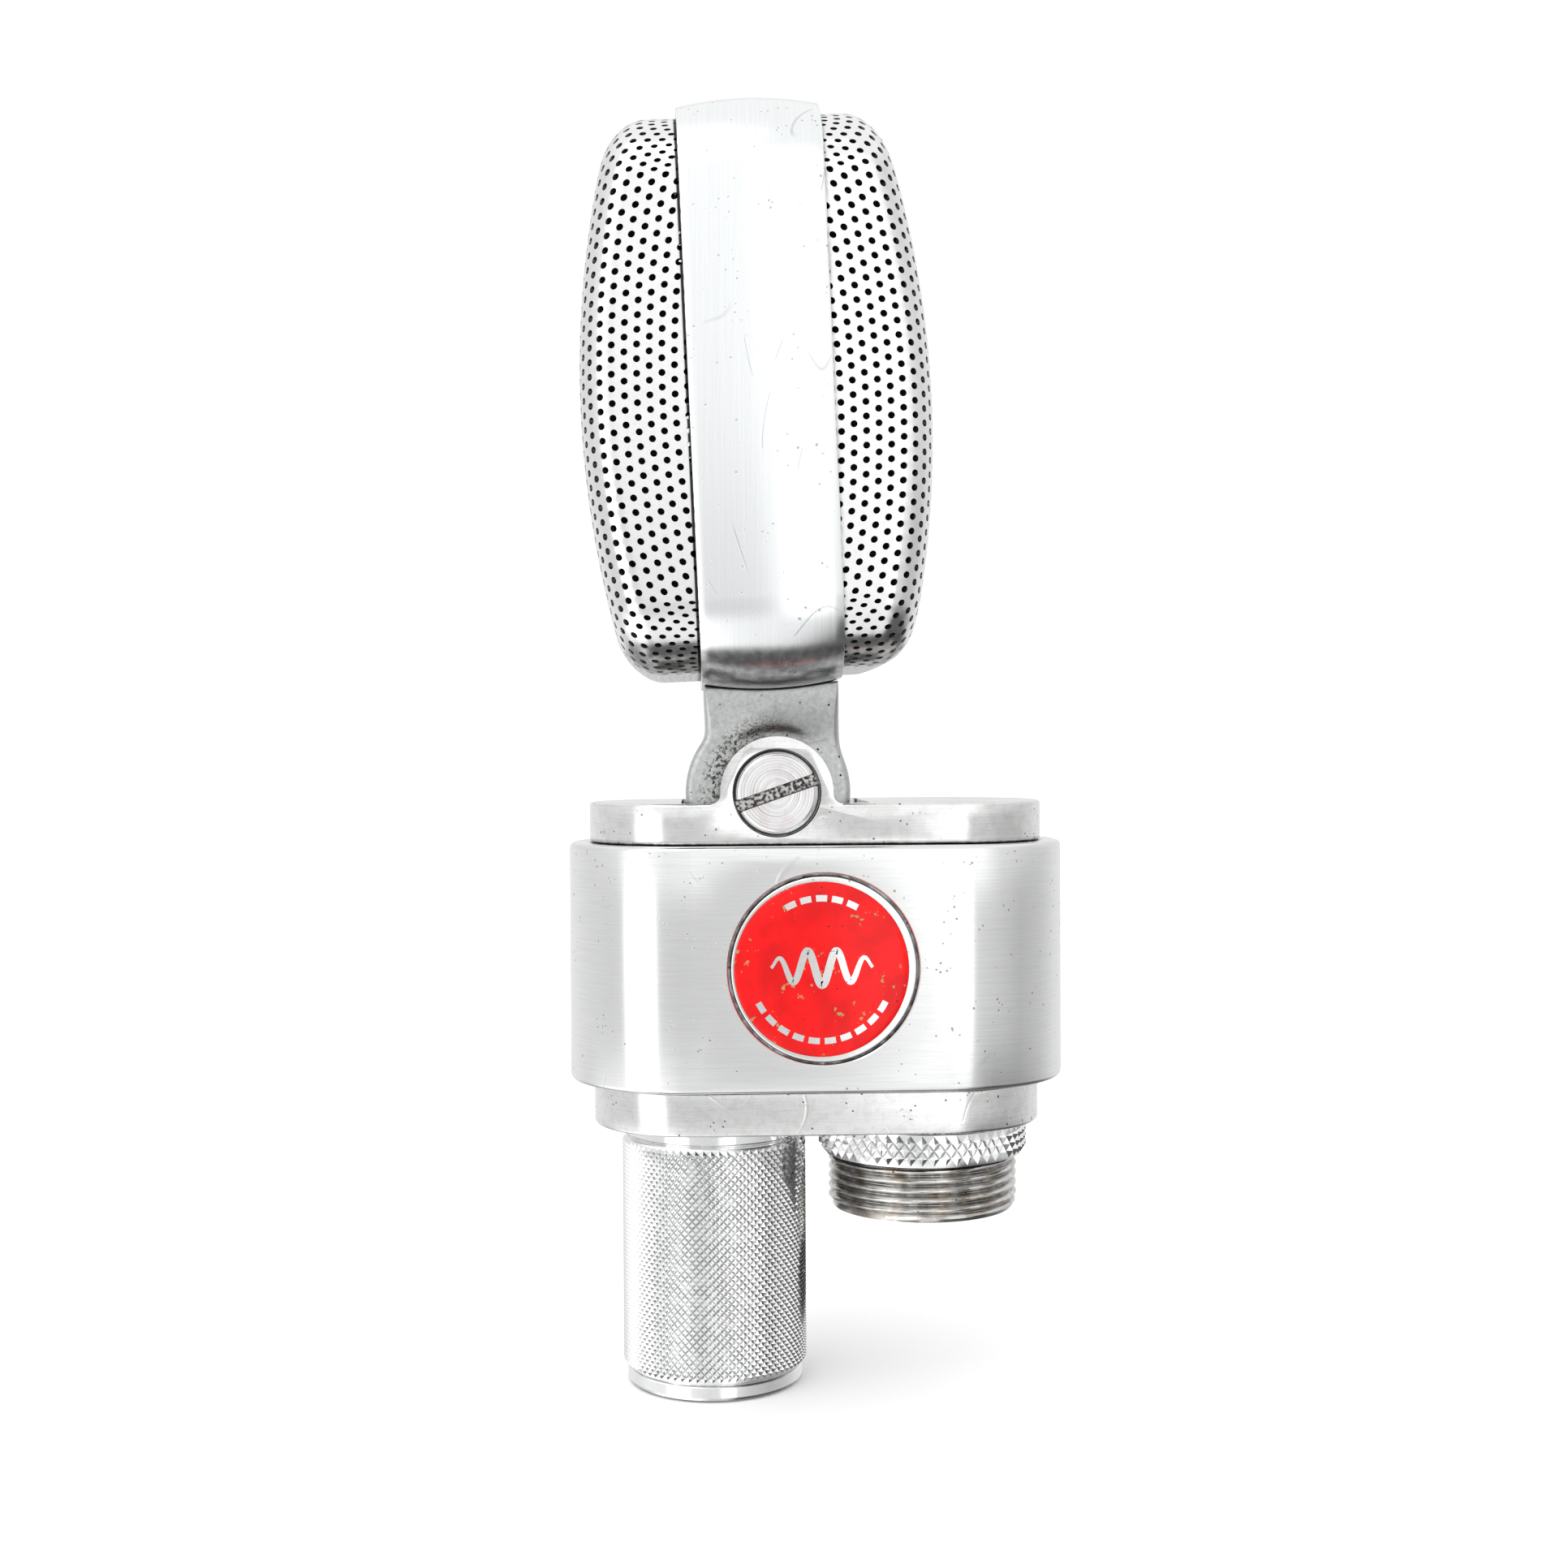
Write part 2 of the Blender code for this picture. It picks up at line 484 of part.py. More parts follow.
# --- Head, in the tilted frame whose origin is the pivot ---------------------------
def make_band(head):
    rings = []
    section = []
    for k in range(7):
        across = -BAND_HALF + 2 * BAND_HALF * k / 6
        section.append((across, BAND_CROWN * (across / BAND_HALF) ** 2))
    inner = BAND_WALL
    section += [(BAND_HALF - 0.5, inner), (-BAND_HALF + 0.5, inner)]
    for across, inset in section:
        outline = rounded_rect(HEAD_HALF[0] - inset, HEAD_HALF[1] - inset, HEAD_CORNER - inset, 8)
        rings.append([(across, y, z) for y, z in outline])
    band = finish("head_band", loft(rings, closed=True), "satin_chrome", (0, 0, HEAD_CENTRE), head)
    floor = HEAD_CENTRE - HEAD_HALF[1]
    for name, x, y, radius in (("front", 0, -KNUCKLE_SCREW_Y, 1.8), ("rear", 0, KNUCKLE_SCREW_Y, 1.8),
                               ("lead", LEAD_X, 0, 1.4)):
        hole = turned([(radius, floor - 2), (radius, floor + 4)], 16)
        cutter("band_hole_" + name, hole, band, (x, y, 0), head)


def dome_depth(side, y, z, distance, inset):
    """Depth of the grille at a point this far inside its outline, for a face seen along X."""
    span, rise = GRILLE_FILLET
    reach = min(distance / span, 1.0)
    drop = rise * (1 - math.sqrt(1 - (1 - reach) ** 2))
    bow = GRILLE_BOW * (y / (HEAD_HALF[0] - GRILLE_INSET)) ** 2
    return GRILLE_FACE[side] - GRILLE_ARCH * (z - GRILLE_FULLEST) ** 2 - bow - drop - inset


def dome_outline(half_y, half_z, radius, steps):
    """A rounded rectangle with extra points along its straight sides."""
    corners = rounded_rect(half_y, half_z, radius, steps)
    points = []
    for quarter in range(4):
        corner = corners[quarter * (steps + 1):(quarter + 1) * (steps + 1)]
        points += corner
        start = Vector(corner[-1])
        end = Vector(corners[(quarter + 1) * (steps + 1) % len(corners)])
        extra = 1 if quarter in (0, 2) else 5
        points += [tuple(start.lerp(end, (k + 1) / (extra + 1))) for k in range(extra)]
    return points


def dome_shell(name, side, inset, thick, steps, finish_name, head):
    """A drawn shell: straight skirt, fillet and crowned face, open on the band's side."""
    half_y = HEAD_HALF[0] - GRILLE_INSET - inset
    half_z = HEAD_HALF[1] - GRILLE_INSET - inset
    corner = HEAD_CORNER - GRILLE_INSET - inset
    rings = [[(side * (GRILLE_FOOT + inset), y, z)
              for y, z in dome_outline(half_y, half_z, corner, steps)]]
    turns = range(steps)
    distances = [GRILLE_FILLET[0] * (1 - math.cos(math.pi / 2 * k / (steps - 1))) for k in turns]
    distances += [half_y * 0.45, half_y * 0.72, half_y]
    for distance in distances:
        radius = max(corner - distance, 0.0)
        outline = dome_outline(half_y - distance, half_z - distance, radius, steps)
        rings.append([(side * dome_depth(side, y, z, distance, inset), y, z) for y, z in outline])
    bm = bmesh.new()
    rows = [[bm.verts.new(point) for point in ring] for ring in rings]
    for low, high in zip(rows, rows[1:]):
        for i in range(len(low)):
            j = (i + 1) % len(low)
            corners = (low[i], low[j], high[j], high[i])
            bm.faces.new(corners if side > 0 else tuple(reversed(corners)))
    shell = finish(name, bm, finish_name, (0, 0, HEAD_CENTRE), head)
    wall = shell.modifiers.new("wall", "SOLIDIFY")
    wall.thickness = thick * MM
    wall.offset = -1.0
    wall.use_even_offset = True
    return shell


def make_grilles(head):
    for side, name in ((-1, "left"), (1, "right")):
        dome_shell(name + "_grille", side, 0.0, GRILLE_THICK, 5, "satin_chrome", head)
        dome_shell(name + "_screen", side, SCREEN_INSET, SCREEN_THICK, 3, "black_cloth", head)


def make_motor(head):
    centre = (0, 0, HEAD_CENTRE)
    hx, hy, hz = YOKE_HALF
    yoke = finish("yoke_frame", box((-hx, -hy, -hz), (hx, hy, hz)), "soft_iron", centre, head)
    cutter("yoke_window", box((-hx - 1, -YOKE_WINDOW[0], -YOKE_WINDOW[1]),
                              (hx + 1, YOKE_WINDOW[0], YOKE_WINDOW[1])), yoke, centre, head)
    for side, sign in (("front", -1), ("rear", 1)):
        near, far = (sign * v for v in MAGNET_Y)
        finish("magnet_" + side, box((-5, min(near, far), -POLE_LENGTH), (5, max(near, far), POLE_LENGTH)),
               "magnet_alloy", centre, head)
        near, far = (sign * v for v in POLE_Y)
        waist = near + (far - near) * 0.45
        outline = [(POLE_TIP_HALF, near), (4.6, waist), (4.6, far), (-4.6, far), (-4.6, waist),
                   (-POLE_TIP_HALF, near)]
        rings = [[(x, y, z) for x, y in outline] for z in (-POLE_LENGTH, POLE_LENGTH)]
        finish("pole_piece_" + side, loft(rings), "soft_iron", centre, head)
    rings = []
    waves = 16
    straight = POLE_LENGTH - 1.0
    levels = [-RIBBON_LENGTH] + [straight * (k / (2 * waves) - 1) for k in range(4 * waves + 1)]
    levels.append(RIBBON_LENGTH)
    for k, z in enumerate(levels):
        swing = 0.35 * math.sin(math.pi * (k - 1) / 2) if 0 < k < len(levels) - 1 else 0.0
        half = RIBBON_FOIL / 2
        rings.append([(swing - half, -RIBBON_HALF, z), (swing + half, -RIBBON_HALF, z),
                      (swing + half, RIBBON_HALF, z), (swing - half, RIBBON_HALF, z)])
    finish("ribbon", loft(rings), "ribbon_foil", centre, head)
    for level, sign in (("upper", 1), ("lower", -1)):
        low, high = sorted((sign * CLAMP_Z[0], sign * CLAMP_Z[1]))
        bar = finish(level + "_clamp_bar", box((-5, -9, low), (-0.4, 9, high)), "paxolin", centre, head)
        plate = finish(level + "_clamp_plate", box((0.4, -6.4, low), (1.5, 6.4, high)), "worn_brass",
                       centre, head)
        for side, y in (("front", -CLAMP_SCREW_Y), ("rear", CLAMP_SCREW_Y)):
            at = (1.8, y, HEAD_CENTRE + (low + high) / 2)
            name = level + "_clamp_screw_" + side
            cutter(name + "_tap", turned([(0.85, -5.0), (0.85, 2)], 12), bar, at, head, along((1, 0, 0)))
            boolean(plate, bpy.data.objects[name + "_tap"])
            slotted_screw(name, at, (1, 0, 0), (1.0, 0.7), (0.55, 4.5), parent=head)


def make_mounting(head):
    floor = HEAD_CENTRE - HEAD_HALF[1] + BAND_WALL
    seat = HEAD_CENTRE - YOKE_HALF[2] - GAP
    bracket = finish("motor_bracket", box((-6, -13, floor + GAP), (6, 13, seat)), "cast_grey",
                     (0, 0, 0), head)
    for side, y in (("front", -KNUCKLE_SCREW_Y), ("rear", KNUCKLE_SCREW_Y)):
        hole = turned([(1.8, floor - 1), (1.8, seat + 1)], 12)
        cutter("bracket_hole_" + side, hole, bracket, (0, y, 0), head)
        sink = turned([(2.9, seat - 2.2), (2.9, seat + 1)], 16)
        cutter("bracket_sink_" + side, sink, bracket, (0, y, 0), head)
        slotted_screw("knuckle_screw_" + side, (0, y, seat - 1.9), (0, 0, 1), (2.5, 1.4), (1.4, 10.0),
                      parent=head)


def smooth_step(value, low, high):
    share = min(max((value - low) / (high - low), 0.0), 1.0)
    return share * share * (3 - 2 * share)


def knuckle_reach(angle, neck_top):
    """Distance from the pivot to the knuckle's outline, at an angle from straight up."""
    sine, cosine = math.sin(angle), math.cos(angle)
    foot = DISC_SHIFT * sine + math.sqrt(DISC_RADIUS ** 2 - (DISC_SHIFT * cosine) ** 2)
    if cosine <= 0:
        return foot
    side = NECK_HALF[0] / max(abs(sine), 1e-6)
    across = min(neck_top * abs(sine) / cosine, NECK_HALF[0])
    top = (neck_top + BAND_CROWN * (across / BAND_HALF) ** 2) / cosine
    return max(foot, min(side, top))


def knuckle_half(x, z):
    """Half thickness of the knuckle: thin between the ears, thick above them."""
    above = smooth_step(z, *NECK_RISE)
    outside = smooth_step(math.hypot(x, z), *NECK_RELIEF)
    return DISC_HALF + (NECK_HALF[1] - DISC_HALF) * above * outside


def knuckle_form(neck_top, sides=56):
    """Loops from the bore outwards over the front face and back over the rear one."""
    bore = PIVOT_SHANK_RADIUS + GAP
    corner = math.atan2(NECK_HALF[0], neck_top + BAND_CROWN * (NECK_HALF[0] / BAND_HALF) ** 2)
    angles = sorted([2 * math.pi * k / sides for k in range(sides)] + [corner, 2 * math.pi - corner])
    loops = []
    for share, edge in ((0, 0), (0.4, 0), (0.6, 0), (0.72, 0), (0.84, 0), (1, 0), (1, 0.5), (1, 1)):
        inset = KNUCKLE_EDGE * math.cos(math.pi / 2 * edge)
        sink = KNUCKLE_EDGE * (1 - math.cos(math.asin(edge)))
        loop = []
        for angle in angles:
            radius = bore + (knuckle_reach(angle, neck_top) - inset - bore) * share
            x, z = radius * math.sin(angle), radius * math.cos(angle)
            loop.append((x, knuckle_half(x, z) - sink, z))
        loops.append(loop)
    front = [[(x, -y, z) for x, y, z in loop] for loop in loops]
    return loft(front + loops[::-1], closed=True)


def make_knuckle(head):
    neck_top = HEAD_CENTRE - HEAD_HALF[1] - GAP
    knuckle = finish("knuckle", knuckle_form(neck_top), "cast_grey", (0, 0, 0), head)
    cutter("knuckle_channel", turned([(1.3, -14), (1.3, 20)], 16), knuckle, (LEAD_X, 0, 0), head)
    for side, y in (("front", -KNUCKLE_SCREW_Y), ("rear", KNUCKLE_SCREW_Y)):
        hole = turned([(1.7, neck_top - 5.0), (1.7, neck_top + 2)], 12)
        cutter("knuckle_tap_" + side, hole, knuckle, (0, y, 0), head)


def smooth_path(points, per_span=3):
    """Catmull-Rom points through the given ones."""
    ends = [points[0]] + list(points) + [points[-1]]
    path = []
    for a, b, c, d in zip(ends, ends[1:], ends[2:], ends[3:]):
        a, b, c, d = (Vector(v) for v in (a, b, c, d))
        for k in range(per_span):
            t = k / per_span
            path.append(0.5 * (2 * b + (c - a) * t + (2 * a - 5 * b + 4 * c - d) * t ** 2
                               + (3 * b - a - 3 * c + d) * t ** 3))
    path.append(Vector(points[-1]))
    return path


def wire(name, points, radius, finish_name, parent=None):
    curve = bpy.data.curves.new(name, "CURVE")
    curve.dimensions = "3D"
    curve.bevel_depth = radius * MM
    curve.bevel_resolution = 1
    curve.use_fill_caps = True
    path = smooth_path(points)
    spline = curve.splines.new("POLY")
    spline.points.add(len(path) - 1)
    for slot, point in zip(spline.points, path):
        slot.co = (*(point * MM), 1.0)
    curve.materials.append(material(finish_name))
    made = bpy.data.objects.new(name, curve)
    bpy.context.scene.collection.objects.link(made)
    made.parent = parent
    return made


def make_leads(head):
    centre = HEAD_CENTRE
    side = YOKE_HALF[0] + 1.2
    wire("ribbon_lead", [(2.6, 0, centre - 25.2), (5.4, 0, centre - 24.8), (side, 0, centre - 26.6),
                         (side, 0, centre - 30.0), (side, 0, centre - 34.0), (LEAD_X + 0.1, 0, centre - 37.2),
                         (LEAD_X, 0, 6), (LEAD_X, 0, -6)], 0.6, "black_plastic", head)
    for number, angle in enumerate((90, 210)):
        x = CONNECTOR_X + PIN_CIRCLE * math.cos(math.radians(angle))
        y = PIN_CIRCLE * math.sin(math.radians(angle))
        wire("output_lead_%d" % (number + 1),
             [(x, y, 37.9), (x, y, 41.0), (x, y * 0.9, 43.5), (x - 1.0, y * 0.8, 46.2)],
             0.5, "black_plastic")


def build():
    clear_scene()
    make_block()
    make_top_plate()
    make_bottom_plate()
    make_top_screws()
    make_badge()
    make_pivot_parts()
    make_stand_parts()
    make_connector()
    make_transformer()
    head = empty("head_pivot", PIVOT, REST_TILT)
    make_band(head)
    make_grilles(head)
    make_motor(head)
    make_mounting(head)
    make_knuckle(head)
    make_leads(head)


build()
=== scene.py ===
"""Looks of the ribbon microphone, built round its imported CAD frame.

Shapes are worked out in millimetres and turned into metres when a mesh is made.
Radii, heights and places come from the frame's nodes and joints."""
import json
import math

import bmesh
import bpy
import numpy as np
from mathutils import Matrix, Vector


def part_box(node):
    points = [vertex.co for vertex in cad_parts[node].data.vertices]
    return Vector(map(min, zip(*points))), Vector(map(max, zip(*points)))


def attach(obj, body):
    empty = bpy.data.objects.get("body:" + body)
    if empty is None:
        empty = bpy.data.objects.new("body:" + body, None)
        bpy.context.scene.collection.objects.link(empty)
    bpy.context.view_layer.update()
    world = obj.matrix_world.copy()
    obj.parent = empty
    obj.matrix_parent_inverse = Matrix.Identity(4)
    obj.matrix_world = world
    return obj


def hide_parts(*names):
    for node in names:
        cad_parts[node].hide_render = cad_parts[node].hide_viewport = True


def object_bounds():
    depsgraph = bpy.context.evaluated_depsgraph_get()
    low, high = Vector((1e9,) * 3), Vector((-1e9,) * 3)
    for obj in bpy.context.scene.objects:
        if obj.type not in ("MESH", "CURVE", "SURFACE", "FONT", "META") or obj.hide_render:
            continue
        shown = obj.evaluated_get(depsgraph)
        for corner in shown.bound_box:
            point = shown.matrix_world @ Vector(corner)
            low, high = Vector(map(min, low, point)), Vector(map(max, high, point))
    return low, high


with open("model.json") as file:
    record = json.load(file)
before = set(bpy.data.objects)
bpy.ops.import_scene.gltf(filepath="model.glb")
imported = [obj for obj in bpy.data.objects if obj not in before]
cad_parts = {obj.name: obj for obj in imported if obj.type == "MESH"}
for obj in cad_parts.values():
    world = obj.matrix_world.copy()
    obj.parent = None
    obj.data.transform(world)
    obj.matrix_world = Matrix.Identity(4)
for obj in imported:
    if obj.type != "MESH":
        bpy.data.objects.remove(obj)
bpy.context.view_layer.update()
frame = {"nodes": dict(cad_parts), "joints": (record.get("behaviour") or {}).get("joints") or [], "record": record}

MM = 0.001
REST_TILT = -2.3  # degrees about +Y that the head leans at rest

# Base and pivot
BLOCK_CORNER = 16.4
TOP_CORNER = 13.6
TOP_FACE = 77.3  # upper face of the top plate
EAR_RADIUS = 7.2
EAR_INNER = 11.0
SLOT_HALF = 12.2
SCREW_RADIUS = 5.38
SCREW_GAP = 0.28  # between the screw's head and its sink in the ear
SCREW_SINK = 1.9
SCREW_UNDER = -1.62  # underside of the screw's head, from its front
SHANK_RADIUS = 3.0
SLOT_TURN = 19  # degrees that the screw's slot rises to the right
SCREW_SLOT = (0.78, 1.2)  # half width and depth
PIVOT_BORE = 3.3
EAR_FILLET = 1.2
TOP_PLATE_OVERLAP = 0.18
BLOCK_WALL = 2.5
BLOCK_ROOF = 3.0
PLATE_SHADING = 32  # sharpest edge in degrees that stays smooth on the block and bottom plate
SPIGOT_HOLE = 6.5
CONNECTOR_HOLE = 10.1
HOUSING_SCREW_HOLE = 1.8

# Badge
BADGE_GAP = 0.32  # round the rim, in the block's pocket
BADGE_CHAMFER = 0.2
BADGE_POCKET = 1.5
BADGE_RIM_TOP = 1.05
BADGE_RIM_BORE = 10.6
ENAMEL_RADIUS = 11.05
ENAMEL_EDGE = 1.12  # heights above the badge's back
ENAMEL_STEP = 0.22  # height of the rounded edge, within the crown
ENAMEL_CROWN = 1.85
ENAMEL_SHIFT = -0.3  # the disc sits a little left of its rim's centre
DASH_ARCS = ((58, 122, 5), (205, 335, 10))  # start, end and number of dashes
DASH_RADIUS = 9.0
DASH_WIDTH = 0.8
WAVE_REACH = 6.4
WAVE_RISE = 0.3
WAVE_HEIGHT = 2.2
WAVE_HALF_TURNS = 7
WAVE_WIDTH = 1.0

# Knuckle, measured from the pivot
DISC_RADIUS = 10.7
DISC_SHIFT = -0.9
DISC_HALF = 9.8
NECK_HALF = (8.6, 12.6)
NECK_RISE = (5.6, 13.6)
NECK_RELIEF = (7.8, 8.7)
KNUCKLE_EDGE = 1.0
KNUCKLE_BLEND = 30

# Head, measured from the pivot
HEAD_HALF = (25.0, 37.05)
HEAD_CORNER = 11.0
HEAD_CENTRE = 50.35
BAND_HALF = 8.9
BAND_CROWN = 0.9
GRILLE_INSET = 2.25
GRILLE_FOOT = 7.9
GRILLE_FACE = {-1: 22.75, 1: 21.85}  # left and right
GRILLE_FULLEST = -2.0
GRILLE_ARCH = 0.0041
GRILLE_BOW = 0.6
GRILLE_FILLET = (5.0, 4.2)
HOLE_PITCH = 1.78
HOLE_RADIUS = 0.44
HOLE_SIDES = 12
SHEET = 0.5
BAND_GAP_SHADE = (0.42, 0.28)  # where the painted shade of the gap beside the band starts and is full
BAND_WALL = 1.6
BAND_SHY = 0.03  # keeps the leaning band inside the CAD's own

# Sleeve, ring and connector
SLEEVE_BORE = 9.4
SLEEVE_BORE_TOP = 23.8
SLEEVE_WEB = 6.5
SLEEVE_KNURL = (0.34, 2.5, 32.55)  # depth, bottom and top of its belt
SLEEVE_DIAMONDS = (74, 28)
RING_BORE = 13.0
RING_KNURL_DEPTH = 0.55
RING_DIAMONDS = (56, 2)
KNURL_FLAT = 0.14  # size of a diamond's flat as a share of the diamond
THREAD_PITCH = 1.27
THREAD_DEPTH = 0.62
THREAD_CREST = 0.16  # shares of the pitch's half that are crest and flank
THREAD_FLANK = 0.74
THREAD_START = 0.35  # height and fade-in of its lower end
THREAD_FADE = 0.5
THREAD_TOP = 31.0
THREAD_SIDES = 120
SHELL_BORE = (10.8, 33.9)  # radius and top of the connector's open end
SHELL_SHOULDER = 34.5
SHELL_NECK = (9.8, 8.3, 44.6)  # outer radius, inner radius and top

# Brightness of the surround by direction, in degrees from straight ahead (right is positive)
LOW_SURROUND = ((-180, 0.90), (-142, 0.88), (-112, 0.80), (-84, 0.75), (-68, 0.76), (-65, 1.7),
                (-36, 1.7), (-33, 0.76), (-12, 0.71), (3, 0.71), (7, 1.0), (10, 1.5), (25, 1.5),
                (28, 0.78), (50, 0.68), (75, 0.54), (100, 0.62), (130, 0.82), (180, 0.90))
HIGH_SURROUND = ((-180, 0.85), (-110, 0.80), (-75, 0.90), (-60, 1.35), (-25, 1.02), (-5, 1.06), (10, 1.25),
                 (35, 1.25), (55, 0.85), (90, 0.75), (140, 0.85), (180, 0.85))
GROUND = ((-180, 0.50), (-125, 0.60), (-100, 1.5), (-35, 1.5), (-12, 1.0), (20, 0.95), (45, 0.10),
          (120, 0.12), (180, 0.50))
HORIZON_BAND = (0.03, 0.15)  # where low gives way to high, as the direction's z
GROUND_BAND = (-0.55, -0.22)
NADIR_BAND = (-0.97, -0.88)
ZENITH_BAND = (0.50, 0.75)
NADIR_LEVEL = 0.20
ZENITH_LEVEL = 1.0
FILL_LEVEL = 1.3  # what diffuse light sees
BACKDROP_LEVEL = 1.02  # what the camera sees
LAMP_LEVEL = 1.5
LAMP_AZIMUTH = (6.0, 7.5, 13.0, 11.5)  # left edge, fully on, right edge, fully on, in degrees
LAMP_HEIGHT = (-0.20, -0.12, 0.09, 0.05)  # the same from bottom to top, as the direction's z
FLOOR_SIDES = (-3.0, 3.0, -0.16, 3.0)  # left, right, front and back in metres
FLOOR_GAP = 0.0002

# Camera, in millimetres, and key lamp, in metres
CAMERA_PLACE = (-2.5, -263.0, 84.6)
CAMERA_TURN = (-2.65, -1.1, -0.3)  # yaw, pitch and roll in degrees
CAMERA_LENS = 44.95
KEY_PLACE = (-0.35, -0.45, 0.75)
KEY_AIM = (0.01, 0, 0.09)
KEY_SIZE = (0.6, 0.6)
KEY_POWER = 1.6

JOINTS = {joint["name"]: joint for joint in frame["joints"]}
PIVOT = Vector(JOINTS["head_tilt"]["pos_m"]) / MM
CONNECTOR_X = JOINTS["lock_ring_spin"]["pos_m"][0] / MM
HEAD = Matrix.Translation(PIVOT) @ Matrix.Rotation(math.radians(REST_TILT), 4, "Y")


def extent(name):
    """Centre and half size of a CAD node, in millimetres."""
    low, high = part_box(name)
    return (low + high) / 2 / MM, (high - low) / 2 / MM


# ---------------- mesh building
def link_mesh(name, bm):
    """Turns a bmesh in metres into an object of the scene."""
    mesh = bpy.data.meshes.new(name)
    bm.to_mesh(mesh)
    bm.free()
    made = bpy.data.objects.new(name, mesh)
    bpy.context.scene.collection.objects.link(made)
    return made


def shade(piece, angle):
    """Smooth shading that breaks at edges sharper than an angle in degrees."""
    piece.data.shade_smooth()
    piece.data.set_sharp_from_angle(angle=math.radians(angle))


def to_object(name, bm, body, replaced=(), matrix=None, smooth=35):
    """Makes a visible piece from a bmesh in millimetres that rides on a body."""
    bmesh.ops.remove_doubles(bm, verts=bm.verts, dist=1e-5)
    bmesh.ops.recalc_face_normals(bm, faces=bm.faces)
    if matrix is not None:
        bmesh.ops.transform(bm, matrix=matrix, verts=bm.verts)
    bmesh.ops.scale(bm, vec=(MM, MM, MM), verts=bm.verts)
    made = link_mesh(name, bm)
    if smooth:
        shade(made, smooth)
    if body:
        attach(made, body)
        if replaced:
            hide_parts(*replaced)
    return made


def join_rings(bm, low, high):
    for i in range(len(low)):
        j = (i + 1) % len(low)
        bm.faces.new((low[i], low[j], high[j], high[i]))


def loft(rings, closed=False):
    """Joins rings of points in turn; the ends are capped unless the last joins the first."""
    bm = bmesh.new()
    rows = [[bm.verts.new(point) for point in ring] for ring in rings]
    pairs = list(zip(rows, rows[1:]))
    if closed:
        pairs.append((rows[-1], rows[0]))
    for low, high in pairs:
        join_rings(bm, low, high)
    if not closed:
        bm.faces.new(list(reversed(rows[0])))
        bm.faces.new(rows[-1])
    return bm


def turned(profile, sides=96, hollow=False):
    """Turns a profile of (radius, z) points about Z."""
    angles = [2 * math.pi * i / sides for i in range(sides)]
    rings = [[(r * math.cos(a), r * math.sin(a), z) for a in angles] for r, z in profile]
    return loft(rings, closed=hollow)


def rounded_rect(half_x, half_y, radius, steps=16):
    points = []
    for quarter in range(4):
        sx = 1 if quarter in (0, 3) else -1
        sy = 1 if quarter in (0, 1) else -1
        for k in range(steps + 1):
            angle = math.pi / 2 * (quarter + k / steps)
            points.append((sx * (half_x - radius) + radius * math.cos(angle),
                           sy * (half_y - radius) + radius * math.sin(angle)))
    return points


def round_levels(z0, z1, edge, steps=3):
    """(inset, z) pairs of a plate's side with rounded top and bottom edges."""
    arcs = [math.pi / 2 * k / steps for k in range(steps + 1)]
    low = [(edge * (1 - math.sin(a)), z0 + edge * (1 - math.cos(a))) for a in arcs]
    high = [(edge * (1 - math.cos(a)), z1 - edge * (1 - math.sin(a))) for a in arcs]
    return low + high


def pill(half_x, half_y, corner, z0, z1, edge, steps=16):
    rings = []
    for inset, z in round_levels(z0, z1, edge):
        outline = rounded_rect(half_x - inset, half_y - inset, corner - inset, steps)
        rings.append([(x, y, z) for x, y in outline])
    return loft(rings)


def facing(axis, x, y, z):
    """Stands a piece at a point, with its own Z along an axis."""
    turn = Vector((0, 0, 1)).rotation_difference(Vector(axis)).to_matrix().to_4x4()
    return Matrix.Translation((x, y, z)) @ turn


def combine(target, tools, operation="DIFFERENCE"):
    """Applies EXACT booleans to target, whose tools are then thrown away."""
    for tool in tools:
        step = target.modifiers.new("cut", "BOOLEAN")
        step.operation = operation
        step.solver = "EXACT"
        step.object = tool
    apply_modifiers(target)
    for tool in tools:
        bpy.data.objects.remove(tool, do_unlink=True)


def apply_modifiers(target):
    graph = bpy.context.evaluated_depsgraph_get()
    mesh = bpy.data.meshes.new_from_object(target.evaluated_get(graph))
    target.modifiers.clear()
    old = target.data
    target.data = mesh
    bpy.data.meshes.remove(old)


def soften(target, width, segments, smooth=35):
    """Bevels the sharp edges of a boolean result and shades it smooth."""
    step = target.modifiers.new("edges", "BEVEL")
    step.width = width * MM
    step.segments = segments
    step.limit_method = "ANGLE"
    step.angle_limit = math.radians(40)
    step.use_clamp_overlap = True
    apply_modifiers(target)
    shade(target, smooth)


def tool(bm, matrix=None):
    return to_object("tool", bm, None, matrix=matrix, smooth=0)


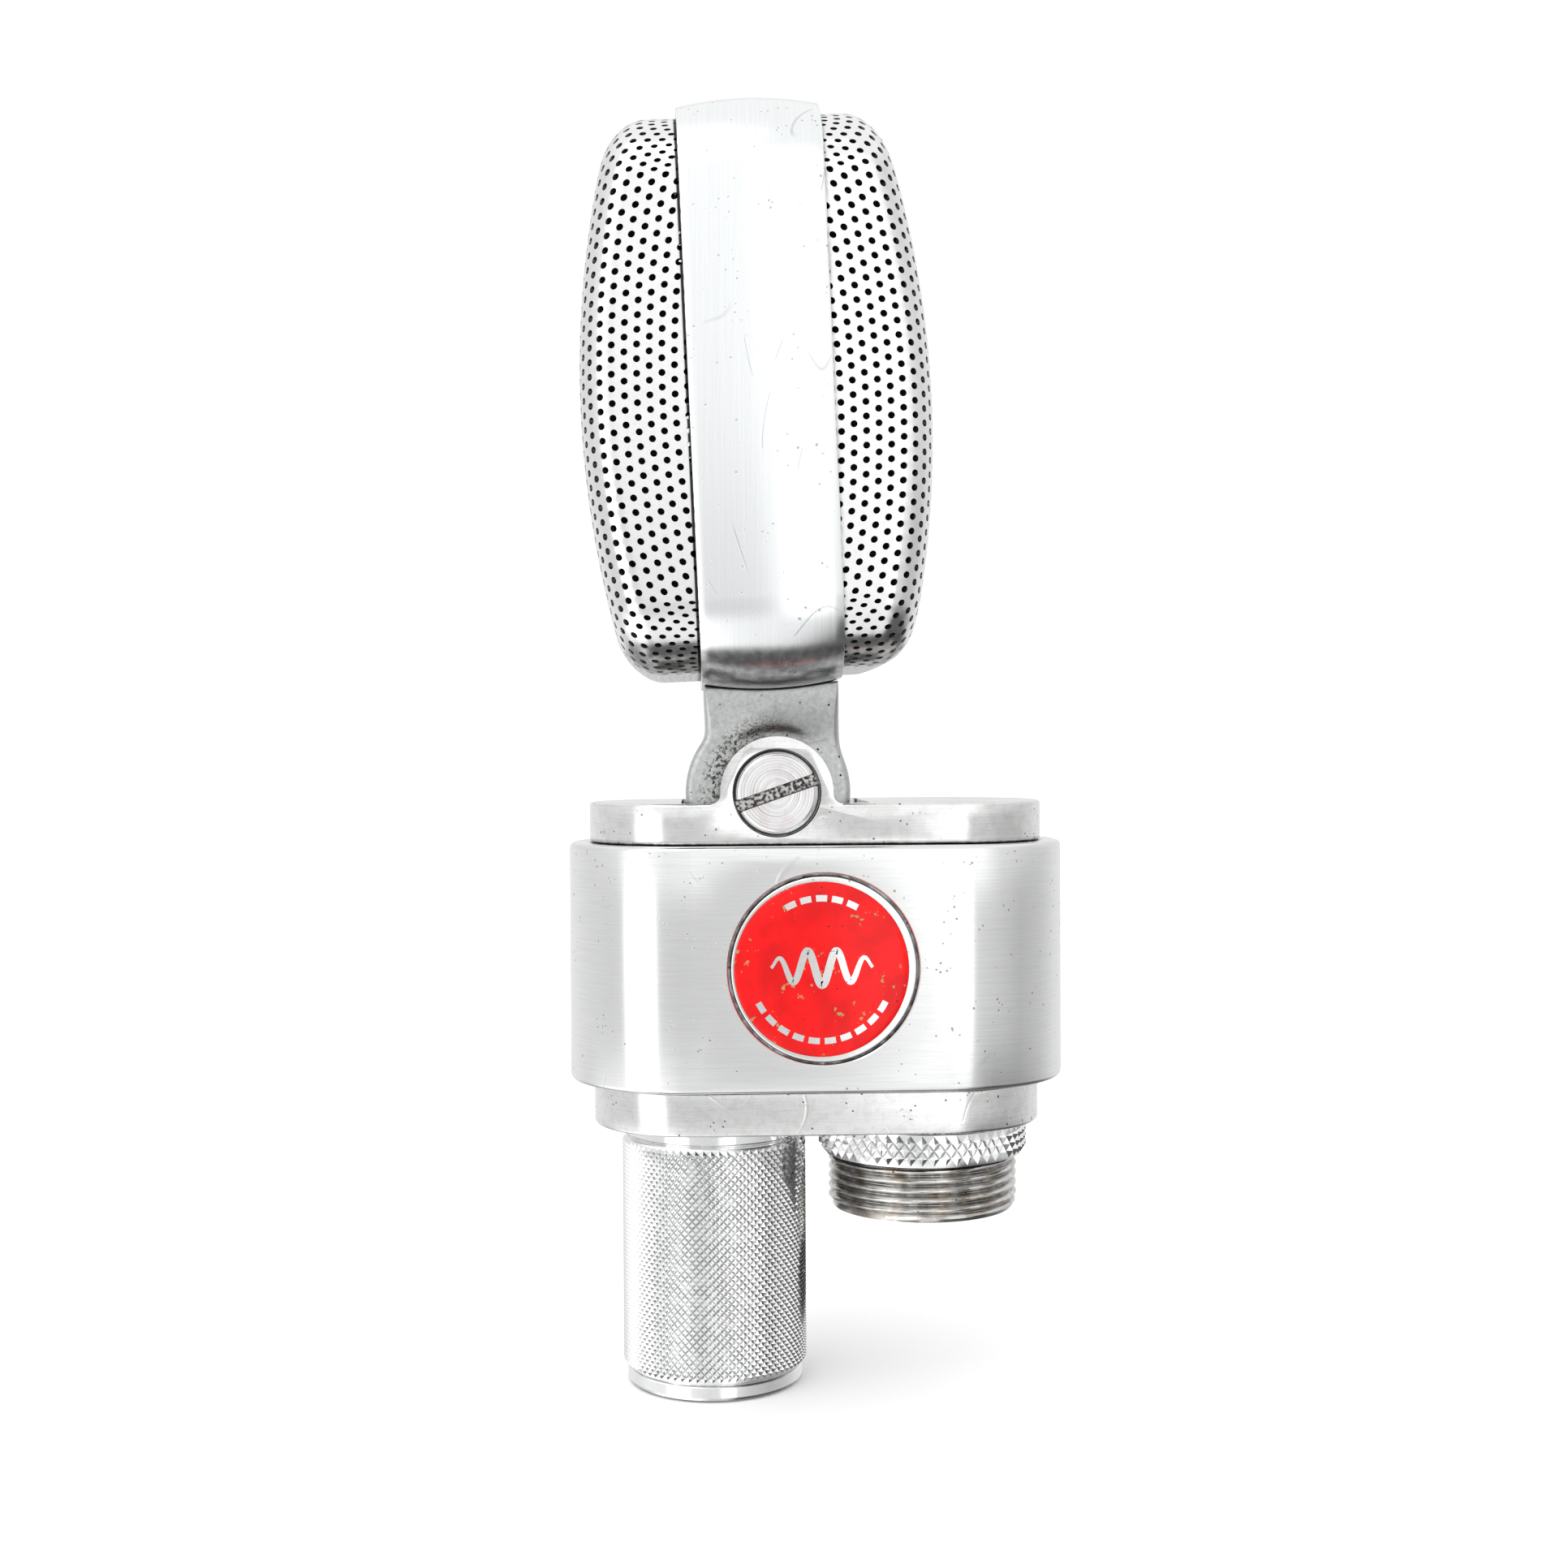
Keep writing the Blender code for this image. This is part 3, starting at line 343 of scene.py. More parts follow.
# ---------------- materials
class Shading:
    """Adds nodes to a node tree; a value may be a number or another node's socket."""

    def __init__(self, tree):
        self.tree = tree

    def add(self, kind, settings=None, **inputs):
        made = self.tree.nodes.new(kind)
        for key, value in (settings or {}).items():
            setattr(made, key, value)
        for key, value in inputs.items():
            slot = int(key[1:]) if key[1:].isdigit() else key.replace("_", " ")
            self.put(made.inputs[slot], value)
        return made

    def put(self, socket, value):
        if isinstance(value, bpy.types.NodeSocket):
            self.tree.links.new(value, socket)
        else:
            socket.default_value = value

    def math(self, operation, a, b=0.0):
        return self.add("ShaderNodeMath", {"operation": operation}, _0=a, _1=b).outputs[0]

    def times(self, a, b):
        return self.math("MULTIPLY", a, b)

    def plus(self, a, b):
        return self.math("ADD", a, b)

    def blend(self, share, a, b):
        return self.plus(a, self.times(share, self.math("SUBTRACT", b, a)))

    def part(self, vector, axis):
        return self.add("ShaderNodeSeparateXYZ", _0=vector).outputs[axis]

    def ramp(self, value, low, high, to_low=0.0, to_high=1.0):
        made = self.add("ShaderNodeMapRange", {"interpolation_type": "SMOOTHSTEP"}, _0=value, _1=low, _2=high,
                        _3=to_low, _4=to_high)
        return made.outputs[0]


class Finish(Shading):
    """A procedural material: a Principled shader and the nodes that drive it."""

    def __init__(self, name, metallic=1.0, specular=0.5):
        self.material = bpy.data.materials.new(name)
        self.material.use_nodes = True
        super().__init__(self.material.node_tree)
        self.shader = self.tree.nodes["Principled BSDF"]
        self.shader.inputs["Metallic"].default_value = metallic
        self.shader.inputs["Specular IOR Level"].default_value = specular
        self.coords = self.add("ShaderNodeTexCoord").outputs["Object"]

    def vector(self, operation, *values):
        inputs = {"_%d" % number: value for number, value in enumerate(values)}
        return self.add("ShaderNodeVectorMath", {"operation": operation}, **inputs).outputs

    def stretched(self, scale):
        return self.vector("MULTIPLY", self.coords, scale)[0]

    def noise(self, scale, detail=3.0, rough=0.5):
        """Noise whose scale is features per metre, one number or one for each axis."""
        vector = self.stretched(scale if isinstance(scale, tuple) else (scale, scale, scale))
        made = self.add("ShaderNodeTexNoise", Vector=vector, Scale=1.0, Detail=detail, Roughness=rough)
        return made.outputs["Fac"]

    def mix(self, amount, a, b):
        made = self.add("ShaderNodeMix", {"data_type": "RGBA"})
        self.put(made.inputs["Factor"], amount)
        self.put(made.inputs[6], a if isinstance(a, bpy.types.NodeSocket) else (*a, 1.0))
        self.put(made.inputs[7], b if isinstance(b, bpy.types.NodeSocket) else (*b, 1.0))
        return made.outputs[2]

    def bump(self, height, depth_mm, normal=None):
        made = self.add("ShaderNodeBump", Strength=1.0, Distance=depth_mm * MM, Height=height)
        if normal is not None:
            self.put(made.inputs["Normal"], normal)
        return made.outputs["Normal"]

    def bands(self, direction, scale):
        made = self.add("ShaderNodeTexWave", {"wave_type": "BANDS", "bands_direction": direction},
                        Vector=self.coords, Scale=scale)
        return made.outputs["Fac"]

    def hairlines(self, scale, width, amount):
        """Sparse long scratches: thin contours of a smooth noise, kept only in patches."""
        line = self.math("ABSOLUTE", self.math("SUBTRACT", self.noise(scale, 0.0), 0.5))
        thin = self.ramp(line, 0.0, width, 1.0, 0.0)
        patch = self.ramp(self.noise(max(scale), 1.0), amount, amount + 0.05)
        return self.times(thin, patch)

    def specks(self, scale, size, amount):
        """Small round pits of the given spacing, kept only where a slow noise is high."""
        made = self.add("ShaderNodeTexVoronoi", Vector=self.stretched((scale,) * 3), Scale=1.0)
        dots = self.ramp(made.outputs["Distance"], size * 0.6, size, 1.0, 0.0)
        patch = self.ramp(self.noise(scale * 0.22, 2.0), amount, amount + 0.08)
        return self.times(dots, patch)

    def crevices(self, reach_mm):
        """One in corners that are narrower than a reach; it masks painted crevice shade."""
        made = self.add("ShaderNodeAmbientOcclusion", {"samples": 8}, Distance=reach_mm * MM)
        return self.ramp(made.outputs["AO"], 0.42, 0.95, 1.0, 0.0)

    def facing_down(self):
        """One where the piece's own surface points down at rest."""
        normal = self.add("ShaderNodeTexCoord").outputs["Normal"]
        return self.ramp(self.part(normal, 2), -0.64, -0.52, 1.0, 0.0)

    def from_axis(self, point):
        """Offset from an axis along Y through a point in millimetres."""
        away = self.vector("SUBTRACT", self.coords, tuple(c * MM for c in point))[0]
        return self.vector("MULTIPLY", away, (1.0, 0.0, 1.0))[0]

    def near_axis(self, point, inner, outer):
        """Share of caked crust between two radii round an axis, thickest on its left."""
        away = self.from_axis(point)
        radius = self.vector("LENGTH", away)["Value"]
        left = self.ramp(self.part(away, 0), -0.006, 0.004, 1.0, 0.12)
        return self.times(self.ramp(radius, inner * MM, outer * MM, 1.0, 0.0), left)

    def left_of_band(self):
        """One on the narrow strip of the left grille next to the band, where the gap's shade is painted."""
        axis = HEAD.to_3x3() @ Vector((1, 0, 0))
        away = self.vector("DOT_PRODUCT", self.coords, tuple(axis))["Value"]
        edge = (PIVOT.dot(axis) - BAND_HALF) * MM
        start, full = BAND_GAP_SHADE
        return self.ramp(away, edge - start * MM, edge - full * MM)

    def done(self, colour, roughness, normal=None):
        self.put(self.shader.inputs["Base Color"], colour)
        self.put(self.shader.inputs["Roughness"], roughness)
        if normal is not None:
            self.put(self.shader.inputs["Normal"], normal)
        return self.material


def darker(tint, share):
    return tuple(c * share for c in tint)


def metal(name, tint, rough, grain=(150, 150, 5200), dark=0.16, depth=0.003, mottle=0.03, pits=0.0,
          scratch=0.0, grime_and_shade=0.0, dirt_and_shade_tint=(0.045, 0.042, 0.036), patina=None, reach=1.2, under=None,
          caked=None, gap_shade=False):
    """Worn metal: brushed grain, faint clouds, pits, hairline scratches, and painted shade in crevices, patchy
    like soiling.

    Patina is (tint, scale, share) and under is (tint, share) of painted shade on surfaces that face down.
    Caked is (centre, inner, outer) of caked crust round an axis along Y, and the last flag paints shade
    in the joint along the band's left edge."""
    f = Finish(name)
    fibres = f.noise(grain, 4.0, 0.65)
    clouds = f.noise(130.0, 3.0, 0.6)
    fine = f.noise(5200.0, 2.0, 0.5)
    rough_now = f.plus(rough, f.times(f.math("SUBTRACT", fibres, 0.5), 0.08))
    rough_now = f.plus(rough_now, f.times(f.math("SUBTRACT", clouds, 0.5), mottle))
    colour = f.mix(f.ramp(fibres, 0.34, 0.70, 0.0, dark), tint, darker(tint, 0.35))
    colour = f.mix(f.ramp(fine, 0.50, 0.80, 0.0, dark * 0.8), colour, darker(tint, 0.30))
    if patina:
        worn = f.ramp(f.noise(patina[1], 4.0, 0.6), 0.46, 0.62, 0.0, patina[2])
        colour = f.mix(worn, colour, patina[0])
    # surfaces that face down are darkened in patches: painted shade
    if under:
        down = f.facing_down()
        patchy = f.ramp(f.noise((900.0, 900.0, 300.0), 4.0), 0.25, 0.7, 0.6, 1.0)
        underside_shade = f.times(down, patchy)
        colour = f.mix(f.times(underside_shade, under[1]), colour, under[0])
    normal = f.bump(f.plus(fibres, f.times(fine, 0.3)), depth)
    if caked:
        crust = f.times(f.near_axis(*caked), f.ramp(f.noise(2400.0, 3.0, 0.7), 0.50, 0.60))
        colour = f.mix(f.times(crust, 0.9), colour, dirt_and_shade_tint)
        normal = f.bump(crust, 0.05, normal)
    # a near-black strip on the left grille beside the band: painted shade of the gap
    if gap_shade:
        colour = f.mix(f.times(f.left_of_band(), 0.97), colour, (0.008, 0.008, 0.008))
    if scratch:
        lines = f.math("MAXIMUM", f.hairlines((90.0, 90.0, 60.0), 0.008, 0.56),
                       f.hairlines((130.0, 90.0, 45.0), 0.008, 0.60))
        colour = f.mix(f.times(lines, scratch), colour, darker(tint, 0.45))
        normal = f.bump(lines, -0.01, normal)
    if pits:
        dots = f.math("MAXIMUM", f.specks(1100.0, 0.20, 0.53), f.specks(420.0, 0.09, 0.50))
        colour = f.mix(f.times(dots, pits), colour, dirt_and_shade_tint)
        rough_now = f.plus(rough_now, f.times(dots, 0.3))
        normal = f.bump(dots, -0.02, normal)
    # corners found by ambient occlusion are darkened: painted shade, made patchy like soiling
    if grime_and_shade:
        dirt_and_shade = f.times(f.crevices(reach), f.ramp(f.noise(900.0, 4.0), 0.30, 0.62, 0.45, 1.0))
        dirt_and_shade = f.times(dirt_and_shade, grime_and_shade)
        colour = f.mix(dirt_and_shade, colour, dirt_and_shade_tint)
        rough_now = f.plus(rough_now, f.times(dirt_and_shade, 0.3))
    return f.done(colour, f.math("MINIMUM", f.math("MAXIMUM", rough_now, 0.05), 1.0), normal)


def lathed(name, tint, rough, axis_point, grime_and_shade, slot_depth):
    """Bright metal faced on a lathe: fine rings round an axis along Y, soiling in the screw's slot, and painted
    shade along the slot's edges and in crevices.
    """
    f = Finish(name)
    f.shader.inputs["Anisotropic"].default_value = 0.75
    tangent = f.add("ShaderNodeTangent", {"direction_type": "RADIAL", "axis": "Y"})
    f.put(f.shader.inputs["Tangent"], tangent.outputs[0])
    away = f.from_axis(axis_point)
    radius = f.vector("LENGTH", away)["Value"]
    rings = f.add("ShaderNodeTexNoise", {"noise_dimensions": "1D"}, W=f.times(radius, 2600.0),
                  Scale=1.0, Detail=3.0, Roughness=0.6).outputs["Fac"]
    stain = f.ramp(f.noise(420.0, 3.0), 0.45, 0.65, 0.0, 0.45)
    colour = f.mix(stain, tint, (tint[0] * 0.86, tint[1] * 0.74, tint[2] * 0.74))
    colour = f.mix(f.ramp(rings, 0.40, 0.75, 0.0, 0.42), colour, darker(tint, 0.4))
    turn = math.radians(SLOT_TURN)
    across = f.vector("DOT_PRODUCT", away, (-math.sin(turn), 0.0, math.cos(turn)))["Value"]
    inside = f.ramp(f.math("ABSOLUTE", across), 0.84 * MM, 0.92 * MM, 1.0, 0.0)
    # darker lines along the slot's edges: painted shade
    edges = f.times(f.ramp(f.math("ABSOLUTE", across), 0.60 * MM, 0.76 * MM), inside)
    mud_and_edge_shade = f.math("MAXIMUM", f.ramp(f.noise(2200.0, 4.0), 0.42, 0.60, 0.25, 1.0), edges)
    sunk = f.ramp(f.part(f.coords, 1), slot_depth - 0.1 * MM, slot_depth)
    dirt_and_shade = f.times(f.times(inside, mud_and_edge_shade), sunk)
    # the slot floor is soiled; crevices are darkened by ambient occlusion: painted shade
    dirt_and_shade = f.math("MAXIMUM", f.times(dirt_and_shade, 0.95), f.times(f.crevices(0.5), grime_and_shade))
    colour = f.mix(dirt_and_shade, colour, (0.07, 0.065, 0.055))
    rough_now = f.plus(rough, f.times(dirt_and_shade, 0.4))
    return f.done(colour, rough_now, f.bump(rings, 0.07))


def enamel():
    """Glossy red enamel with clouded colour, small chips and rubbed marks."""
    f = Finish("red_enamel_worn", metallic=0.0, specular=0.30)
    clouds = f.noise(260.0, 2.0)
    colour = f.mix(f.ramp(clouds, 0.35, 0.65), (0.76, 0.002, 0.003), (0.62, 0.001, 0.002))
    chips = f.times(f.ramp(f.noise(1300.0, 3.0), 0.62, 0.65), f.ramp(f.noise(170.0, 1.0), 0.54, 0.60))
    colour = f.mix(chips, colour, (0.42, 0.27, 0.12))
    flecks = f.specks(900.0, 0.13, 0.55)
    colour = f.mix(flecks, colour, (0.10, 0.012, 0.010))
    scuffs = f.hairlines((700.0, 700.0, 160.0), 0.02, 0.55)
    colour = f.mix(f.times(scuffs, 0.5), colour, (0.35, 0.02, 0.02))
    normal = f.bump(f.math("MAXIMUM", chips, flecks), -0.03)
    normal = f.bump(f.noise(900.0, 2.0), 0.006, normal)
    rough = f.plus(0.16, f.times(chips, 0.5))
    return f.done(colour, rough, normal)


def cloth():
    f = Finish("screen_weave", metallic=0.0, specular=0.2)
    weave = f.times(f.bands("Y", 900.0), f.bands("Z", 900.0))
    colour = f.mix(weave, (0.006, 0.006, 0.007), (0.03, 0.03, 0.032))
    return f.done(colour, 0.9, f.bump(weave, 0.05))


def matte(name, tint, rough, fleck=0.8, depth=0.01):
    """Moulded or laminated insulation with a slight mottle."""
    f = Finish(name, metallic=0.0)
    grain = f.noise(1800.0, 3.0)
    colour = f.mix(f.ramp(grain, 0.3, 0.7), tint, darker(tint, fleck))
    return f.done(colour, f.plus(rough, f.times(grain, 0.08)), f.bump(grain, depth))


def copper():
    f = Finish("enamelled_wire", metallic=0.9)
    turns = f.bands("Z", 1500.0)
    colour = f.mix(turns, (0.30, 0.09, 0.03), (0.78, 0.34, 0.15))
    return f.done(colour, 0.35, f.bump(turns, 0.05))


def make_finishes():
    silver = (0.86, 0.865, 0.865)
    pale = (0.90, 0.90, 0.90)
    across = (150, 150, 5200)
    even = (1600, 1600, 1600)
    brown = (0.30, 0.20, 0.11)
    # under darkens surfaces that face down: painted shade
    sheet = {"dark": 0.08, "depth": 0.004, "mottle": 0.04, "grime_and_shade": 0.8, "reach": 0.8,
             "under": ((0.20, 0.185, 0.18), 0.75)}
    # grime amounts darken crevices found by ambient occlusion: painted shade, patchy like soiling
    return {
        "block": metal("satin_block", silver, 0.15, across, dark=0.10, depth=0.002, pits=0.55, scratch=0.12,
                       grime_and_shade=0.75, reach=0.8),
        "plate": metal("satin_plate", silver, 0.16, across, dark=0.14, mottle=0.04, pits=0.8, scratch=0.12,
                       grime_and_shade=0.6, patina=(brown, 700.0, 0.10), reach=0.8),
        "band": metal("satin_band", (0.92, 0.94, 0.945), 0.22, (5200, 60, 60), dark=0.07, pits=0.4,
                      scratch=0.45, grime_and_shade=0.4, under=((0.27, 0.265, 0.265), 0.85)),
        "grille": metal("plated_sheet", pale, 0.20, even, **sheet),
        # the left sheet adds painted shade in the gap beside the band
        "left_grille": metal("plated_sheet_left_gap_shade", pale, 0.20, even, gap_shade=True, **sheet),
        "knuckle": metal("cast_knuckle", (0.62, 0.635, 0.625), 0.40, even, dark=0.30, depth=0.03,
                         mottle=0.10, pits=1.0, scratch=0.2, grime_and_shade=0.35, dirt_and_shade_tint=(0.03, 0.03, 0.025),
                         reach=1.0, caked=(PIVOT, 8.3, 10.8)),
        "screw": lathed("turned_face", (0.86, 0.855, 0.86), 0.20, PIVOT, 0.6, screw_front() + 0.3 * MM),
        "knurl": metal("knurled_steel", (0.97, 0.975, 0.975), 0.10, even, dark=0.05, mottle=0.04, grime_and_shade=0.65,
                       dirt_and_shade_tint=(0.012, 0.014, 0.016), reach=0.35),
        "thread": metal("worn_thread", (0.76, 0.755, 0.74), 0.17, (500, 500, 3000), dark=0.25, depth=0.01,
                        mottle=0.10, pits=0.9, grime_and_shade=0.9, dirt_and_shade_tint=(0.03, 0.025, 0.02),
                        patina=(brown, 330.0, 0.40), reach=0.7),
        "rim": metal("badge_silver", (0.88, 0.88, 0.87), 0.14, even, dark=0.10, mottle=0.04, pits=0.5,
                     grime_and_shade=0.9, reach=0.5),
        "steel": metal("plain_steel", (0.74, 0.74, 0.73), 0.22, even, dark=0.10, mottle=0.05, pits=0.3,
                       grime_and_shade=0.5),
        "brass": metal("plain_brass", (0.62, 0.47, 0.25), 0.28, even, dark=0.08),
        "iron": metal("soft_iron_grey", (0.34, 0.33, 0.32), 0.45, even, dark=0.15, depth=0.01, mottle=0.1,
                      pits=0.3),
        "magnet": metal("ground_magnet", (0.24, 0.24, 0.25), 0.4, (2600, 80, 80), dark=0.2, depth=0.006),
        "foil": metal("ribbon_foil_bright", (0.88, 0.89, 0.90), 0.2, (900, 900, 900), dark=0.05,
                      depth=0.002),
        "enamel": enamel(),
        "cloth": cloth(),
        "paxolin": matte("brown_laminate", (0.20, 0.09, 0.04), 0.45),
        "plastic": matte("black_moulding", (0.02, 0.02, 0.021), 0.35),
        "fibre": matte("red_fibre", (0.16, 0.06, 0.03), 0.75, 0.7, 0.03),
        "copper": copper(),
    }


def dress(piece, finish):
    piece.data.materials.clear()
    piece.data.materials.append(finish)


# ---------------- base
def make_block(finish):
    centre, half = extent("block_housing")
    pocket_centre, pocket = extent("badge_rim")
    block = to_object("block_shell", pill(half.x, half.y, BLOCK_CORNER, -half.z, half.z, 0.6), "base",
                      ["block_housing"], Matrix.Translation(centre))
    wall = BLOCK_WALL
    top = centre.z + half.z
    cavity = pill(half.x - wall, half.y - wall, BLOCK_CORNER - wall, -half.z - 4, half.z - BLOCK_ROOF, 0.5)
    radius = pocket.x + BADGE_GAP
    mouth = radius + BADGE_CHAMFER
    depth = BADGE_POCKET
    hollow = turned([(radius, 0), (radius, depth - 0.15), (mouth, depth + 0.05), (mouth, depth + 3)], 96)
    at = facing((0, -1, 0), pocket_centre.x, centre.y - half.y + depth, pocket_centre.z)
    slot = loft([slot_outline(z) for z in (top - 5, top + 4)])
    combine(block, [tool(cavity, Matrix.Translation(centre)), tool(hollow, at), tool(slot)])
    shade(block, PLATE_SHADING)
    dress(block, finish)


def slot_outline(z):
    """The knuckle's slot between the ears, at a height."""
    return [(PIVOT.x + x, y, z) for x, y in rounded_rect(SLOT_HALF, EAR_INNER, 0.4, 4)]


def ear_outline(radius, fillet, drop, steps=40):
    """Half-round ear that flows into a flat plate through small fillets, in x and z."""
    top = -drop
    reach = math.sqrt((radius + fillet) ** 2 - (top + fillet) ** 2)
    touch = math.atan2(top + fillet, reach)
    turns = [touch + (math.pi - 2 * touch) * k / steps for k in range(steps + 1)]
    points = [(radius * math.cos(a), radius * math.sin(a)) for a in turns]
    flare = [math.pi + touch + (math.pi / 2 - touch) * k / 6 for k in range(7)]
    right = [(reach + fillet * math.cos(a), top + fillet + fillet * math.sin(a)) for a in flare]
    points += [(-x, z) for x, z in right]
    points += [(-reach, top - 2.5), (reach, top - 2.5)]
    return points + right[::-1]


def make_top_plate(finish):
    centre, half = extent("top_plate")
    low = centre.z - half.z - TOP_PLATE_OVERLAP
    high = TOP_FACE
    plate = to_object("top_plate_body", pill(half.x, half.y, TOP_CORNER, low, high, 0.35), "base",
                      ["top_plate"], Matrix.Translation((centre.x, 0, 0)))
    ears = []
    outline = ear_outline(EAR_RADIUS, EAR_FILLET, PIVOT.z - high)
    for sign in (-1, 1):
        rings = []
        for depth in (EAR_INNER, half.y - 0.001):
            rings.append([(PIVOT.x + x, sign * depth, PIVOT.z + z) for x, z in outline])
        ears.append(tool(loft(rings)))
    combine(plate, ears, "UNION")
    cuts = [tool(loft([slot_outline(z) for z in (low - 1, high + 12)]))]
    sink = SCREW_RADIUS + SCREW_GAP
    for sign in (-1, 1):
        place = facing((0, sign, 0), PIVOT.x, sign * (half.y - SCREW_SINK), PIVOT.z)
        cuts.append(tool(turned([(sink, 0), (sink, 4)], 96), place))
    bore = facing((0, 1, 0), *PIVOT)
    cuts.append(tool(turned([(PIVOT_BORE, -20), (PIVOT_BORE, 20)], 64), bore))
    combine(plate, cuts)
    soften(plate, 0.3, 3)
    dress(plate, finish)


def make_bottom_plate(finish):
    centre, half = extent("bottom_plate")
    low, high = centre.z - half.z, centre.z + half.z
    plate = to_object("bottom_plate_body", pill(half.x, half.y, TOP_CORNER, low, high, 0.4), "base",
                      ["bottom_plate"], Matrix.Translation((centre.x, 0, 0)))
    cuts = []
    spots = [(0.0, 0.0, SPIGOT_HOLE), (CONNECTOR_X, 0.0, CONNECTOR_HOLE)]
    for name in ("housing_screw_front", "housing_screw_rear"):
        screw, size = extent(name)
        spots.append((screw.x, screw.y, HOUSING_SCREW_HOLE))
        sink = turned([(size.x + 0.35, 0), (size.x + 0.35, 3.2), (0.5, 3.2)], 48)
        cuts.append(tool(sink, Matrix.Translation((screw.x, screw.y, low - 1))))
    for x, y, radius in spots:
        hole = turned([(radius, low - 1), (radius, high + 1)], 64)
        cuts.append(tool(hole, Matrix.Translation((x, y, 0))))
    combine(plate, cuts)
    shade(plate, PLATE_SHADING)
    dress(plate, finish)


def make_badge(finishes):
    centre, half = extent("badge_rim")
    back = facing((0, -1, 0), centre.x, centre.y + half.y, centre.z)
    radius = half.x
    top = BADGE_RIM_TOP
    round_off = 0.3
    rim = [(radius - 0.1, 0), (radius, 0.1), (radius, top - round_off)]
    rim += [(radius - round_off + round_off * math.cos(a), top - round_off + round_off * math.sin(a))
            for a in (math.radians(d) for d in (20, 45, 70, 90))]
    rim += [(BADGE_RIM_BORE, top), (BADGE_RIM_BORE, 0)]
    rim = turned(rim, 128, hollow=True)
    ring = to_object("badge_rim_ring", rim, "base", ["badge_rim"], back)
    dress(ring, finishes["rim"])
    seat = back @ Matrix.Translation((ENAMEL_SHIFT, 0, 0))
    dome = [(ENAMEL_RADIUS - 0.35, 0.0), (ENAMEL_RADIUS - 0.35, ENAMEL_EDGE - 0.02),
            (ENAMEL_RADIUS - 0.12, ENAMEL_EDGE)]
    dome += [(ENAMEL_RADIUS * share, dome_height(ENAMEL_RADIUS * share))
             for share in (1, 0.995, 0.98, 0.95, 0.9, 0.8, 0.7, 0.6, 0.5, 0.4, 0.3, 0.2, 0.1, 0.01)]
    disc = to_object("badge_enamel", turned(dome, 128), "base", ["badge_disc"], seat)
    dress(disc, finishes["enamel"])
    return seat


def dome_height(radius):
    """Height of the enamel's surface above the badge's back."""
    share = min(radius / ENAMEL_RADIUS, 1.0)
    edge = ENAMEL_STEP * math.sqrt(max(1 - share ** 16, 0.0))
    return ENAMEL_EDGE + edge + (ENAMEL_CROWN - ENAMEL_EDGE - ENAMEL_STEP) * (1 - share ** 2)


def strip_on_dome(paths, width):
    """Thin raised strips that follow lists of points on the badge's dome."""
    lift, sunk = 0.02, 0.05
    bm = bmesh.new()
    for path, closed_taper in paths:
        left = []
        right = []
        count = len(path)
        for k, point in enumerate(path):
            before = Vector(path[max(k - 1, 0)])
            after = Vector(path[min(k + 1, count - 1)])
            along = (after - before).normalized()
            side = Vector((-along.y, along.x))
            taper = 1.0
            if closed_taper:
                taper = max(math.sin(math.pi * (k + 0.5) / count), 0.15) ** 0.5
            for row, sign in ((left, 1), (right, -1)):
                spot = Vector(point) + side * sign * width / 2 * taper
                height = dome_height(spot.length) - sunk
                row.append((bm.verts.new((spot.x, spot.y, height)),
                            bm.verts.new((spot.x, spot.y, height + sunk + lift))))
        for k in range(count - 1):
            a, b, c, d = left[k], left[k + 1], right[k + 1], right[k]
            bm.faces.new((a[1], b[1], c[1], d[1]))
            bm.faces.new((a[0], d[0], c[0], b[0]))
            bm.faces.new((a[0], b[0], b[1], a[1]))
            bm.faces.new((d[0], d[1], c[1], c[0]))
        for a, d in ((left[0], right[0]), (left[-1], right[-1])):
            bm.faces.new((a[0], a[1], d[1], d[0]))
    return bm


def make_ornament(finishes, seat):
    """Generic decoration: two arcs of dashes and a folded-ribbon wave."""
    paths = []
    for start, end, count in DASH_ARCS:
        for k in range(count):
            a0 = math.radians(start + (end - start) * (k + 0.15) / count)
            a1 = math.radians(start + (end - start) * (k + 0.85) / count)
            turns = [a0 + (a1 - a0) * t / 6 for t in range(7)]
            paths.append(([(DASH_RADIUS * math.cos(a), DASH_RADIUS * math.sin(a)) for a in turns], False))
    dashes = strip_on_dome(paths, DASH_WIDTH)
    wave = []
    for k in range(97):
        t = k / 96
        swing = WAVE_HEIGHT * math.sin(t * math.pi * WAVE_HALF_TURNS) * math.sin(math.pi * t) ** 0.4
        wave.append((WAVE_REACH * (2 * t - 1), WAVE_RISE + swing))
    line = strip_on_dome([(wave, True)], WAVE_WIDTH)
    for name, bm in (("badge_dashes", dashes), ("badge_wave", line)):
        dress(to_object(name, bm, "base", (), seat), finishes["rim"])


def screw_front():
    centre, half = extent("pivot_screw")
    return (centre.y - half.y) * MM


